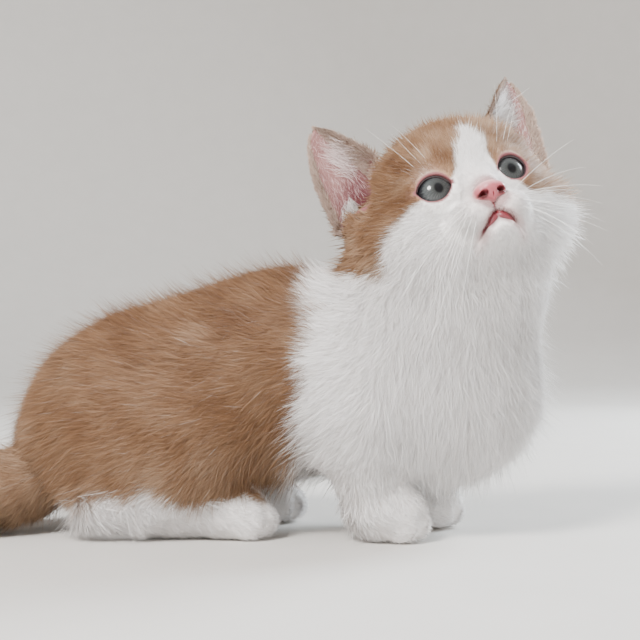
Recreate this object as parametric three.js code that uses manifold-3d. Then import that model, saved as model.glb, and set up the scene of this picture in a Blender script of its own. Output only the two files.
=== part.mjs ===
// A munchkin kitten of about nine weeks, sitting with its long hind feet flat and its short
// forelegs straight, its head turned to its right and lifted, as a still life-size model.
// Millimetres, +X the way the body faces, +Y its left, +Z up, the floor at z = 0.
import * as THREE from "three";
import { mergeVertices } from "three/addons/utils/BufferGeometryUtils.js";
import Module from "manifold-3d";

const wasm = await Module();
wasm.setup();

// Driving dimensions of the kitten, out to the tips of its short plush coat.
const BACK_HEIGHT = 98; // top of the shoulders
const HEAD_WIDTH = 79; // across the cheeks
const EYEBALL = 8.8; // radius
const EAR_THICKNESS = 2.2;
const GAP = 0.3; // left between pieces that meet

// How the head is held on the neck.
const HEAD_AT = [52.8, -5.3, 114.2];
const HEAD_TURN = -77; // degrees, to the kitten's right
const HEAD_LIFT = 20;
const HEAD_TILT = 17.5;

// Colours of the coat and skin.
const GINGER = 0xb98558;
const WHITE = 0xe9e4df;
const PINK = 0xd98f8f;
const EYE_GREY = 0x8f9a9c;

const radians = THREE.MathUtils.degToRad;
const SIDES = { right: -1, left: 1 };

// Shapes as distances: negative inside, positive outside, in millimetres.

// A rounded lobe of flesh: an ellipsoid turned about the vertical by yaw and about its
// own side axis by pitch, joined to its neighbours over the width blend.
function lobe(centre, radii, blend, yaw = 0, pitch = 0) {
  const [cy, sy] = [Math.cos(radians(yaw)), Math.sin(radians(yaw))];
  const [cp, sp] = [Math.cos(radians(pitch)), Math.sin(radians(pitch))];
  return {
    blend,
    distance(x, y, z) {
      const [dx, dy, dz] = [x - centre[0], y - centre[1], z - centre[2]];
      const fx = dx * cy + dy * sy;
      const ly = dy * cy - dx * sy;
      const lx = fx * cp + dz * sp;
      const lz = dz * cp - fx * sp;
      const near = Math.hypot(lx / radii[0], ly / radii[1], lz / radii[2]);
      const slope = Math.hypot(lx / radii[0] ** 2, ly / radii[1] ** 2, lz / radii[2] ** 2);
      return slope < 1e-9 ? -Math.min(...radii) : (near * (near - 1)) / slope;
    },
  };
}

// A tapered round limb from one joint to the next.
function limb(from, to, radiusFrom, radiusTo, blend) {
  const [ax, ay, az] = from;
  const [bx, by, bz] = [to[0] - ax, to[1] - ay, to[2] - az];
  const length2 = bx * bx + by * by + bz * bz;
  return {
    blend,
    distance(x, y, z) {
      const [dx, dy, dz] = [x - ax, y - ay, z - az];
      const t = Math.min(1, Math.max(0, (dx * bx + dy * by + dz * bz) / length2));
      const away = Math.hypot(dx - t * bx, dy - t * by, dz - t * bz);
      return away - (radiusFrom + t * (radiusTo - radiusFrom));
    },
  };
}

function smoothMin(a, b, k) {
  const h = Math.max(k - Math.abs(a - b), 0) / k;
  return Math.min(a, b) - (h * h * k) / 4;
}

function joined(shapes, x, y, z) {
  let d = 1e3;
  for (const s of shapes) d = smoothMin(d, s.distance(x, y, z), s.blend);
  return d;
}

// The body, in its own frame.

const torsoShapes = [
  lobe([40, 1, 58], [41, 34, 41], 12),
  lobe([-4, 1, BACK_HEIGHT - 39], [56, 35, 39], 18),
  lobe([-50, 0, 49], [52, 37, 36], 16),
  lobe([-80, 0, 36], [33, 35, 31], 14),
];

const neckShapes = [lobe([47, -3, 91], [37, 32, 31], 14)];

// The forelegs are hardly longer than the paws. The left one stands a little ahead.
const foreFoot = { right: [25, -18], left: [36, 17] };

function forelegShapes(side) {
  const [x, y] = foreFoot[side];
  return [
    limb([x - 8, y * 1.05, 44], [x - 4, y, 16], 18, 12.5, 10),
    lobe([x + 1, y, 10], [15, 12.8, 11.5], 5),
    ...toeShapes([x + 6, y], 0, 12),
  ];
}

// Four toes side by side, the middle two ahead of the outer two.
function toeShapes([x, y], yaw, spread) {
  const [c, s] = [Math.cos(radians(yaw)), Math.sin(radians(yaw))];
  return [-1.5, -0.5, 0.5, 1.5].map((n) => {
    const ahead = Math.abs(n) < 1 ? 3.5 : 0;
    const across = (n * spread) / 2.4;
    return lobe([x + ahead * c - across * s, y + ahead * s + across * c, 7], [7, 3.9, 7.6], 1.6, yaw);
  });
}

// The hind feet lie flat from hock to toes, close beside the belly.
const hindHeel = { right: [-75, -27], left: [-72, 27] };
const hindToe = { right: [-29, -20], left: [-25, 23] };

function hindShapes(side) {
  const [hx, hy] = hindHeel[side];
  const [tx, ty] = hindToe[side];
  const yaw = THREE.MathUtils.radToDeg(Math.atan2(ty - hy, tx - hx));
  return [
    lobe([-54, SIDES[side] * 23, 31], [37, 19, 27], 10, 0, 12),
    limb([hx, hy, 11], [tx, ty, 9.5], 11.5, 10.5, 6),
    lobe([tx + 1, ty, 9.5], [13, 11.5, 10.5], 4, yaw),
    ...toeShapes([tx + 6, ty], yaw, 11),
  ];
}

// The tail drops from the rump, then lies on the floor, curving to the right. Each point
// has the coat's radius as its fourth value.
const TAIL = [
  [-90, -1, 36, 17],
  [-104, -12, 21, 15.5],
  [-120, -27, 14, 14.4],
  [-142, -38, 12.6, 13.4],
  [-166, -44, 11.8, 12.4],
  [-187, -46, 10.6, 11.2],
  [-203, -46, 9, 9.4],
];
const TAIL_LENGTHS = 20; // short straight lengths that its curve is drawn with

const tailLine = new THREE.CatmullRomCurve3(TAIL.map(([x, y, z]) => new THREE.Vector3(x, y, z)));
function tailAt(t) {
  const { x, y, z } = tailLine.getPoint(t);
  const along = t * (TAIL.length - 1);
  const i = Math.min(TAIL.length - 2, Math.floor(along));
  return [x, y, z, THREE.MathUtils.lerp(TAIL[i][3], TAIL[i + 1][3], along - i)];
}

const tailShapes = Array.from({ length: TAIL_LENGTHS }, (_, i) => {
  const from = tailAt(i / TAIL_LENGTHS);
  const to = tailAt((i + 1) / TAIL_LENGTHS);
  return limb(from.slice(0, 3), to.slice(0, 3), from[3], to[3], i ? 1 : 10);
});

// The head, in its own frame: +X the way the face looks, its centre in the skull.

const headPlace = new THREE.Matrix4().compose(
  new THREE.Vector3(...HEAD_AT),
  new THREE.Quaternion().setFromEuler(
    new THREE.Euler(radians(HEAD_TILT), radians(-HEAD_LIFT), radians(HEAD_TURN), "ZYX"),
  ),
  new THREE.Vector3(1, 1, 1),
);
const headInverse = headPlace.clone().invert();

const eyeAt = (s) => [15.2, s * 13, 3.5];
const LID = 0.8; // thickness of the lids over the eyeball
const EYE_OUTWARD = 11; // degrees that each eye looks away from straight ahead

const mirrored = (make) => [make(-1), make(1)];

const headShapes = [
  lobe([-5, 0, 6.5], [29.5, 33, 28], 8),
  lobe([6, 0, 13.5], [21, 28, 19.5], 10),
  ...mirrored((s) => lobe([-10, s * 31, 10], [13, 9.5, 14], 7)),
  ...mirrored((s) => lobe([-2, s * (HEAD_WIDTH / 2 - 22), -8], [25, 22, 18], 12)),
  lobe([4, 0, -18], [23, 24, 13], 10),
  limb([12, 0, 8], [28, 0, -3.5], 10.5, 5.8, 8),
  ...mirrored((s) => lobe([24.5, s * 6, -12.5], [9.8, 8.2, 7], 4)),
  lobe([21.5, 0, -19.5], [9.5, 8, 5.6], 3),
  ...mirrored((s) => lobe(eyeAt(s), [EYEBALL + LID, EYEBALL + LID, EYEBALL + LID], 3)),
  lobe([31.6, 0, -6.2], [4.2, 5.4, 4], 1.5),
];

const headDistance = (x, y, z) => joined(headShapes, x, y, z);

// The whole kitten as one distance, in the body frame.

const limbShapes = ["right", "left"].flatMap((side) => [...forelegShapes(side), ...hindShapes(side)]);
const bodyShapes = [...torsoShapes, ...neckShapes, ...tailShapes, ...limbShapes];
const HEAD_BLEND = 9;
const probe = new THREE.Vector3();

function kittenDistance(x, y, z) {
  const body = joined(bodyShapes, x, y, z);
  probe.set(x, y, z).applyMatrix4(headInverse);
  return smoothMin(body, headDistance(probe.x, probe.y, probe.z), HEAD_BLEND);
}

// The same distance read in the head's frame. The head's small forms stay sharp.
function kittenFromHead(x, y, z) {
  probe.set(x, y, z).applyMatrix4(headPlace);
  const body = joined(bodyShapes, probe.x, probe.y, probe.z);
  return smoothMin(body, headDistance(x, y, z), HEAD_BLEND);
}

// From a distance to a closed mesh: one vertex in each cell that the surface crosses.

function evenly(from, to, step) {
  const count = Math.ceil((to - from) / step);
  return Array.from({ length: count + 1 }, (_, i) => from + (i * (to - from)) / count);
}

// Coarse steps with a finer stretch between them.
function graded(from, fineFrom, fineTo, to, coarse, fine) {
  return [
    ...evenly(from, fineFrom, coarse).slice(0, -1),
    ...evenly(fineFrom, fineTo, fine),
    ...evenly(fineTo, to, coarse).slice(1),
  ];
}

// How fast the distance grows along each axis: close to the surface, its outward normal.
function slopeOf(distance, point) {
  const STEP = 0.05;
  const d = distance(...point);
  return [0, 1, 2].map((a) => {
    const beside = [...point];
    beside[a] += STEP;
    return (distance(...beside) - d) / STEP;
  });
}

// Moves a point that lies close to the surface onto it, along the slope of the distance.
function ontoSurface(distance, point) {
  const d = distance(...point);
  const slope = slopeOf(distance, point);
  const steep = Math.max(0.25, slope[0] ** 2 + slope[1] ** 2 + slope[2] ** 2);
  const shift = Math.abs(d) > 1.5 ? 0 : d / steep;
  return point.map((v, a) => v - shift * slope[a]);
}

function surfaceOf(distance, axes) {
  const size = axes.map((a) => a.length);
  const stride = [size[1] * size[2], size[2], 1];
  const value = new Float32Array(size[0] * size[1] * size[2]);
  const last = size.map((n) => n - 1);
  for (let i = 0, n = 0; i < size[0]; i++)
    for (let j = 0; j < size[1]; j++)
      for (let k = 0; k < size[2]; k++, n++) {
        const edge = [i, j, k].some((g, a) => g === 0 || g === last[a]);
        const d = distance(axes[0][i], axes[1][j], axes[2][k]);
        value[n] = edge ? Math.max(d, 1e-3) : d;
      }
  const positions = [];
  const vertexAt = new Int32Array(value.length).fill(-1);
  const corner = (g, bits) => [0, 1, 2].map((a) => g[a] + ((bits >> a) & 1));
  const indexOf = (g) => g[0] * stride[0] + g[1] * stride[1] + g[2];
  const indices = [];
  const eachCell = (visit) => {
    for (let i = 0; i < last[0]; i++)
      for (let j = 0; j < last[1]; j++) for (let k = 0; k < last[2]; k++) visit([i, j, k]);
  };
  eachCell((g) => {
    const sum = [0, 0, 0];
    let crossings = 0;
    for (let bits = 0; bits < 8; bits++)
      for (let a = 0; a < 3; a++) {
        if ((bits >> a) & 1) continue;
        const [p, q] = [corner(g, bits), corner(g, bits | (1 << a))];
        const [dp, dq] = [value[indexOf(p)], value[indexOf(q)]];
        if (dp < 0 === dq < 0) continue;
        const t = dp / (dp - dq);
        crossings++;
        for (let b = 0; b < 3; b++) sum[b] += axes[b][p[b]] * (1 - t) + axes[b][q[b]] * t;
      }
    if (!crossings) return;
    vertexAt[indexOf(g)] = positions.length / 3;
    positions.push(...ontoSurface(distance, sum.map((v) => v / crossings)));
  });
  eachCell((g) => {
    const here = indexOf(g);
    for (let a = 0; a < 3; a++) {
      const [b, c] = [(a + 1) % 3, (a + 2) % 3];
      if (!g[b] || !g[c]) continue;
      const inside = value[here] < 0;
      if (inside === value[here + stride[a]] < 0) continue;
      const ring = [here - stride[b] - stride[c], here - stride[c], here, here - stride[b]];
      const [p, q, r, s] = ring.map((n) => vertexAt[n]);
      indices.push(...(inside ? [p, q, r, p, r, s] : [p, r, q, p, s, r]));
    }
  });
  const geometry = new THREE.BufferGeometry();
  geometry.setAttribute("position", new THREE.Float32BufferAttribute(positions, 3));
  geometry.setIndex(indices);
  return geometry;
}

// Cutting and joining.

function solidOf(geometry, matrix) {
  const g = geometry.clone();
  if (matrix) g.applyMatrix4(matrix);
  return new wasm.Manifold(
    new wasm.Mesh({
      numProp: 3,
      vertProperties: new Float32Array(g.attributes.position.array),
      triVerts: new Uint32Array(g.index.array),
    }),
  );
}

const WELD = 0.001; // vertices closer than this become one

// Joins the doubled vertices of a geometry, so that it closes.
function welded(geometry) {
  const bare = geometry.clone();
  bare.deleteAttribute("uv");
  bare.deleteAttribute("normal");
  const merged = mergeVertices(bare, WELD);
  const corners = [...merged.index.array];
  const kept = [];
  for (let i = 0; i < corners.length; i += 3) {
    const [a, b, c] = corners.slice(i, i + 3);
    if (a !== b && b !== c && c !== a) kept.push(a, b, c);
  }
  merged.setIndex(kept);
  return merged;
}

function geometryOf(solid) {
  const mesh = solid.getMesh();
  const g = new THREE.BufferGeometry();
  g.setAttribute("position", new THREE.Float32BufferAttribute(mesh.vertProperties, 3));
  g.setIndex(new THREE.BufferAttribute(mesh.triVerts, 1));
  return g;
}

// The largest closed body of a solid. Welding its corners can part it again from a hollow
// or a scrap that it only touches, so this goes on until one body is left.
function largest(solid) {
  const bodies = solidOf(welded(geometryOf(solid))).decompose();
  if (bodies.length === 1) return bodies[0];
  return largest(bodies.reduce((a, b) => (a.volume() > b.volume() ? a : b)));
}

// A block from its two corners, made larger all round by grow.
function block([x0, y0, z0], [x1, y1, z1]) {
  return (grow = 0) => {
    const g = new THREE.BoxGeometry(x1 - x0 + 2 * grow, y1 - y0 + 2 * grow, z1 - z0 + 2 * grow);
    g.translate((x0 + x1) / 2, (y0 + y1) / 2, (z0 + z1) / 2);
    return solidOf(welded(g));
  };
}

// All that lies on the side of a plane that its normal points to.
const FAR = 400;
function beyond(point, normal) {
  const turn = new THREE.Quaternion().setFromUnitVectors(
    new THREE.Vector3(0, 0, 1),
    new THREE.Vector3(...normal).normalize(),
  );
  return (grow = 0) => {
    const g = new THREE.BoxGeometry(2 * FAR, 2 * FAR, FAR);
    g.translate(0, 0, FAR / 2 - grow);
    g.applyQuaternion(turn);
    g.translate(...point);
    return solidOf(welded(g));
  };
}

const both = (a, b) => (grow = 0) => a(grow).intersect(b(grow));

// Where the body parts from one node to the next.

const aboveFloor = beyond([0, 0, 0], [0, 0, 1]);
const HEAD_CUT = { point: [46, -6, 93], normal: [0.08, -0.3, 0.95] };
const headRegion = beyond(HEAD_CUT.point, HEAD_CUT.normal);
const chestRegion = beyond([4, 0, 50], [1, 0, 0.12]);
const neckRegion = beyond([40, 0, 77], [0.4, -0.1, 0.9]);
const acrossTail = (t) => beyond(tailLine.getPoint(t).toArray(), tailLine.getTangent(t).toArray());
const tailRegion = both(acrossTail(0.14), beyond([-90, 0, 0], [-1, 0, 0]));
const tailMiddleRegion = acrossTail(0.44);
const tailTipRegion = acrossTail(0.72);

// An oval form that is laid into the body's side.
function oval(middle, radii) {
  return (grow = 0) => {
    const g = new THREE.SphereGeometry(1, 20, 12).scale(...radii.map((r) => r + grow));
    return solidOf(welded(g.translate(...middle)));
  };
}

function forelegRegion(side) {
  const s = SIDES[side];
  const [x, y] = foreFoot[side];
  return both(oval([x - 3, y, 13], [29, 22, 25]), beyond([0, s * 1.5, 0], [0, s, 0]));
}

function forepawRegion(side) {
  return both(forelegRegion(side), beyond([0, 0, 17], [0, 0, -1]));
}

const thighRegion = (side) => oval([-55, SIDES[side] * 40, 27], [47, 21, 33]);

function hindFootRegion(side) {
  const s = SIDES[side];
  return block([-90, Math.min(s * 4, s * 60), -20], [6, Math.max(s * 4, s * 60), 17.5]);
}

// The part of a solid that lies in a region, less what belongs to other nodes.
function parted(solid, region, others = []) {
  let piece = region ? solid.intersect(region()) : solid;
  for (const other of others) piece = piece.subtract(other(GAP));
  return largest(piece);
}

// Meshes the kitten inside a box, in cells of one size.
function meshed(box, cell) {
  const axes = [0, 1, 2].map((a) => evenly(box[0][a], box[1][a], cell));
  return surfaceOf(kittenDistance, axes);
}
const standing = (geometry) => solidOf(geometry).intersect(aboveFloor());

const material = (color, roughness = 0.9, metalness = 0) =>
  new THREE.MeshStandardMaterial({ color, roughness, metalness });
const gingerCoat = material(GINGER);
const whiteCoat = material(WHITE);

const kitten = new THREE.Group();

function add(group, name, solid, look) {
  const mesh = new THREE.Mesh(geometryOf(solid), look);
  mesh.name = name;
  group.add(mesh);
  return mesh;
}

// Locks of the long coat: flat tapered strips that follow the surface the way the coat lies.

// Numbers from 0 to 1 in a fixed order, so that the coat is the same each time.
let drawn = 17;
function random() {
  drawn = (drawn * 48271) % 2147483647;
  return drawn / 2147483647;
}
const between = (low, high) => low + (high - low) * random();

const LOCK = {
  thick: 2.6,
  sunk: 2.2, // depth of its root below the surface
  heights: [0, 0.36, 0.72, 1], // stations from root to tip, as shares of its length
  widths: [0.7, 1, 0.6, 0], // shares of its width there
};

function lockOf(distance, root, lie, { long, wide, lift }) {
  const bend = between(-0.4, 0.4);
  const positions = [];
  let at = new THREE.Vector3(...root);
  let before = 0;
  const normal = new THREE.Vector3();
  const along = new THREE.Vector3();
  const side = new THREE.Vector3();
  LOCK.heights.forEach((t, i) => {
    normal.set(...slopeOf(distance, at.toArray())).normalize();
    along.set(...lie(at, normal)).projectOnPlane(normal).normalize();
    side.crossVectors(normal, along);
    along.addScaledVector(side, bend * t).normalize();
    at.addScaledVector(along, (t - before) * long);
    at = new THREE.Vector3(...ontoSurface(distance, at.toArray()));
    normal.set(...slopeOf(distance, at.toArray())).normalize();
    side.crossVectors(normal, along).normalize();
    before = t;
    const centre = at.clone().addScaledVector(normal, -LOCK.sunk * (1 - t) ** 2 + lift * t * t);
    const half = (wide / 2) * LOCK.widths[i];
    if (!half) return positions.push(...centre.toArray());
    const deep = LOCK.thick * (1 - 0.45 * t) * 0.5;
    for (const [u, v] of [[half, -0.2 * deep], [0, deep], [-half, -0.2 * deep], [0, -deep]])
      positions.push(...centre.clone().addScaledVector(side, u).addScaledVector(normal, v).toArray());
  });
  const indices = [0, 2, 1, 0, 3, 2];
  // Upper and under face are split alike, so that they don't cross where the lock bends.
  for (let r = 0; r < 2; r++)
    for (let c = 0; c < 4; c++) {
      const [a, b] = [r * 4 + c, r * 4 + ((c + 1) % 4)];
      indices.push(...(c % 2 ? [a, b, a + 4, b, b + 4, a + 4] : [a, b + 4, a + 4, a, b, b + 4]));
    }
  for (let c = 0; c < 4; c++) indices.push(8 + c, 8 + ((c + 1) % 4), 12);
  const geometry = new THREE.BufferGeometry();
  geometry.setAttribute("position", new THREE.Float32BufferAttribute(positions, 3));
  geometry.setIndex(indices);
  return solidOf(geometry);
}

// Roots spread evenly over the part of a meshed surface where grows allows them.
function rootsOn(geometry, distance, spacing, grows) {
  const p = geometry.attributes.position;
  const corner = (n) => new THREE.Vector3().fromBufferAttribute(p, geometry.index.getX(n));
  const spots = [];
  for (let n = 0; n < geometry.index.count; n += 3) {
    const [a, b, c] = [corner(n), corner(n + 1), corner(n + 2)];
    const [u, v] = [random(), random()];
    const [s, t] = u + v > 1 ? [1 - u, 1 - v] : [u, v];
    const spot = a.clone().addScaledVector(b.sub(a), s).addScaledVector(c.sub(a), t);
    spots.push({ spot, order: random() });
  }
  spots.sort((a, b) => a.order - b.order);
  const kept = [];
  for (const { spot } of spots) {
    const normal = new THREE.Vector3(...slopeOf(distance, spot.toArray())).normalize();
    if (!grows(spot, normal)) continue;
    if (kept.some((k) => k.distanceTo(spot) < spacing)) continue;
    kept.push(spot);
  }
  return kept;
}

function locksOn(surface, distance, { spacing, grows, lie, long, wide, lift }) {
  return rootsOn(surface, distance, spacing, grows).map((root) => {
    const vary = between(0.82, 1.15);
    const size = { long: long * vary, wide: wide * vary, lift: lift * vary };
    return lockOf(distance, root.toArray(), lie, size);
  });
}

const clearOfHead = (p) =>
  HEAD_CUT.point.reduce((sum, v, a) => sum + (v - p.getComponent(a)) * HEAD_CUT.normal[a], 0) > 1;

// The bib hangs down the throat and chest to the tops of the forelegs.
const bib = {
  spacing: 10.4,
  grows: (p, n) => p.x > 30 && p.z > (p.x > 63 ? 32 : 56) && n.x > 0.05 && n.z < 0.6 && clearOfHead(p),
  lie: () => [0.05, 0, -1],
  long: 25,
  wide: 11,
  lift: 4.2,
};

// The longer hair low on the flank and thigh hangs back and down over the feet.
const skirt = {
  spacing: 13,
  grows: (p, n) => p.x > -92 && p.x < 16 && Math.abs(p.y) > 20 && p.z > 22 && p.z < 37 && n.z < 0.2,
  lie: () => [-0.55, 0, -0.8],
  long: 21,
  wide: 12,
  lift: 3,
};

// The brush of the tail points along it to its tip.
const brush = {
  spacing: 15.5,
  grows: (p, n) => p.x < -104 && p.z < 44 && n.z > -0.15,
  lie: (p) => [-1, THREE.MathUtils.clamp((p.x + 175) / 75, 0, 1) * -0.75, -0.12],
  long: 25,
  wide: 11,
  lift: 2.8,
};

// The ruff of the cheeks sweeps out and back from the face. It is placed in the head's frame.
const ruff = {
  spacing: 9.2,
  grows: (p) => Math.abs(p.y) > 24 && p.z < -1 && p.z > -26 && p.x > -15 && p.x < 13,
  lie: (p) => [-0.7, 0.55 * Math.sign(p.y), -0.6],
  long: 17,
  wide: 8.5,
  lift: 3.6,
};

// Torso, neck, legs and tail.

const BODY_CELL = 8.6;
const FOOT_CELL = 4.8;
const bodySurface = meshed([[-220, -66, -6], [98, 54, 132]], BODY_CELL);
const bodyLocks = [bib, skirt, brush].flatMap((coat) => locksOn(bodySurface, kittenDistance, coat));
const wholeBody = wasm.Manifold.union([solidOf(bodySurface), ...bodyLocks]).intersect(aboveFloor());

const legRegions = ["right", "left"].flatMap((side) => [
  forelegRegion(side),
  thighRegion(side),
  hindFootRegion(side),
]);
add(kitten, "torso",
  parted(wholeBody, null, [headRegion, neckRegion, chestRegion, tailRegion, ...legRegions]), gingerCoat);
add(kitten, "chest",
  parted(wholeBody, chestRegion, [headRegion, neckRegion, ...legRegions]), whiteCoat);
add(kitten, "neck", parted(wholeBody, neckRegion, [headRegion, tailRegion]), whiteCoat);

for (const side of ["right", "left"]) {
  const s = SIDES[side];
  const [x, y] = foreFoot[side];
  const foreBox = [[x - 24, y - 20, -5], [x + 24, y + 20, 23]];
  const hindBox = [[-96, s > 0 ? 1 : -48, -5], [12, s > 0 ? 48 : -1, 23]];
  add(kitten, `foreleg_${side}`,
    parted(wholeBody, forelegRegion(side), [forepawRegion(side), neckRegion]), whiteCoat);
  add(kitten, `forepaw_${side}`,
    parted(standing(meshed(foreBox, FOOT_CELL)), forepawRegion(side)), whiteCoat);
  add(kitten, `thigh_${side}`,
    parted(wholeBody, thighRegion(side), [hindFootRegion(side), tailRegion]), gingerCoat);
  add(kitten, `hind_foot_${side}`,
    parted(standing(meshed(hindBox, FOOT_CELL)), hindFootRegion(side), [tailRegion]), whiteCoat);
}

add(kitten, "tail_root", parted(wholeBody, tailRegion, [tailMiddleRegion]), gingerCoat);
add(kitten, "tail_middle", parted(wholeBody, tailMiddleRegion, [tailTipRegion]), gingerCoat);
add(kitten, "tail_tip", parted(wholeBody, tailTipRegion), gingerCoat);

// Head, nose, jaw, eyes and ears, placed as one group.

const head = new THREE.Group();
headPlace.decompose(head.position, head.quaternion, head.scale);
kitten.add(head);

const inHeadFrame = (region) => (grow = 0) => {
  const g = geometryOf(region(grow));
  g.applyMatrix4(headInverse);
  return solidOf(g);
};
const headAxes = [
  graded(-44, 14, 38, 42, 7, 3.2),
  graded(-48, -22, 22, 48, 6.5, 3.2),
  graded(-42, -26, 9, 46, 6.8, 3.2),
];

// A hole or piece with a drawn outline in the plane of up and across, from near to far ahead.
function drawnAhead(outline, near, far, place = new THREE.Matrix4()) {
  const g = new THREE.ExtrudeGeometry(outline, {
    depth: far - near,
    bevelEnabled: false,
    curveSegments: 6,
  });
  g.translate(0, 0, near);
  const ahead = new THREE.Matrix4().makeBasis(
    new THREE.Vector3(0, 1, 0),
    new THREE.Vector3(0, 0, 1),
    new THREE.Vector3(1, 0, 0),
  );
  g.applyMatrix4(ahead);
  return solidOf(welded(g.applyMatrix4(place)));
}

// The almond slit between the lids, its inner corner a little lower than the outer.
const EYE_SLIT = { half: 6.3, upper: 4.9, lower: 4.8, slant: 5 };

function eyeSlit(s) {
  const { half, upper, lower, slant } = EYE_SLIT;
  const almond = new THREE.Shape();
  almond.moveTo(-half, 0);
  almond.bezierCurveTo(-half * 0.55, upper * 1.33, half * 0.55, upper * 1.33, half, 0);
  almond.bezierCurveTo(half * 0.55, -lower * 1.33, -half * 0.55, -lower * 1.33, -half, 0);
  const place = new THREE.Matrix4().compose(
    new THREE.Vector3(...eyeAt(s)),
    new THREE.Quaternion().setFromEuler(
      new THREE.Euler(radians(slant * s), 0, radians(EYE_OUTWARD * s), "ZYX"),
    ),
    new THREE.Vector3(1, 1, 1),
  );
  return drawnAhead(almond, 1, 16, place);
}

// The lower jaw below the two arches of the lips.
const LIPS = { apex: -13.8, corner: 8.8, drop: 7, bottom: -31 };

function jawBlock(grow = 0) {
  const { apex, corner, drop, bottom } = LIPS;
  const chin = new THREE.Shape();
  chin.moveTo(-corner - grow, apex - drop + grow);
  chin.quadraticCurveTo(-corner * 0.4, apex - drop * 0.22 + grow, 0, apex + grow);
  chin.quadraticCurveTo(corner * 0.4, apex - drop * 0.22 + grow, corner + grow, apex - drop + grow);
  const [side, low] = [corner + grow, bottom - grow];
  chin.bezierCurveTo(side, low, -side, low, -side, apex - drop + grow);
  return drawnAhead(chin, 13 - grow, 42);
}

function eyeball(s, grow = 0) {
  return solidOf(welded(new THREE.SphereGeometry(EYEBALL + grow, 12, 8).translate(...eyeAt(s))));
}

// A nostril: a comma that opens forward and curls out to the side of the nose.
function nostril(s) {
  const hole = new THREE.SphereGeometry(1, 8, 6).scale(2.4, 1.9, 0.9);
  hole.rotateZ(radians(35 * s)).rotateX(radians(-24 * s)).translate(34.2, s * 3.2, -7.4);
  return solidOf(welded(hole));
}

// The nose leather: wide at its wings, drawn in to the groove of the upper lip below.
const NOSE = { top: -3.3, wing: 5.3, wingAt: -6.5, foot: 1, bottom: -9.8 };

function noseRegion(grow = 0) {
  const { top, wing, wingAt, foot, bottom } = NOSE;
  const heart = new THREE.Shape();
  heart.moveTo(foot + grow, bottom - grow);
  heart.quadraticCurveTo(wing * 0.5 + grow, bottom + 1.6 - grow, wing + grow, wingAt);
  heart.quadraticCurveTo(wing * 0.9 + grow, top + grow, 0, top + grow);
  heart.quadraticCurveTo(-wing * 0.9 - grow, top + grow, -wing - grow, wingAt);
  heart.quadraticCurveTo(-wing * 0.5 - grow, bottom + 1.6 - grow, -foot - grow, bottom - grow);
  return drawnAhead(heart, 29 - grow, 40);
}

// The groove of the upper lip, from the nose down to where the lips meet.
function philtrum() {
  const groove = new THREE.SphereGeometry(1, 8, 6).scale(1.5, 0.55, 2.6);
  return solidOf(welded(groove.translate(33.2, 0, -11.8)));
}

const LIP_GAP = 0.5; // half of the parted lips

const headSurface = surfaceOf(kittenFromHead, headAxes);
const headLocks = locksOn(headSurface, kittenFromHead, ruff);
const wholeHead = wasm.Manifold.union([solidOf(headSurface), ...headLocks])
  .intersect(inHeadFrame(headRegion)());
let cranium = wholeHead.subtract(noseRegion(GAP)).subtract(jawBlock(LIP_GAP)).subtract(philtrum());
for (const s of [-1, 1]) cranium = cranium.subtract(eyeball(s, GAP)).subtract(eyeSlit(s));
add(head, "head", largest(cranium), gingerCoat);
add(head, "jaw", largest(wholeHead.intersect(jawBlock())), whiteCoat);

const noseAxes = [evenly(26, 38, 1.9), evenly(-7.4, 7.4, 1.9), evenly(-12.5, -1, 1.9)];
let nose = solidOf(surfaceOf(kittenFromHead, noseAxes)).intersect(noseRegion());
for (const s of [-1, 1]) nose = nose.subtract(nostril(s));
add(head, "nose", largest(nose), material(PINK, 0.5));

// The ear: a cupped triangular leaf between three points of the skull's side, thicker at
// its root, with its open side forward and out.
const EAR = {
  tip: [-2.5, 40, 52],
  inner: [0.5, 22, 33],
  outer: [-13, 42, 13],
  cup: 9,
  bow: 4,
  straight: 0.68, // how full its edges are: the inner one is straighter than the outer one
  uneven: 0.18,
};
const EAR_ROWS = 6;
const EAR_COLUMNS = 6;
const EAR_SUNK = 0.25; // share of its height that the leaf runs on into the skull

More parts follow.
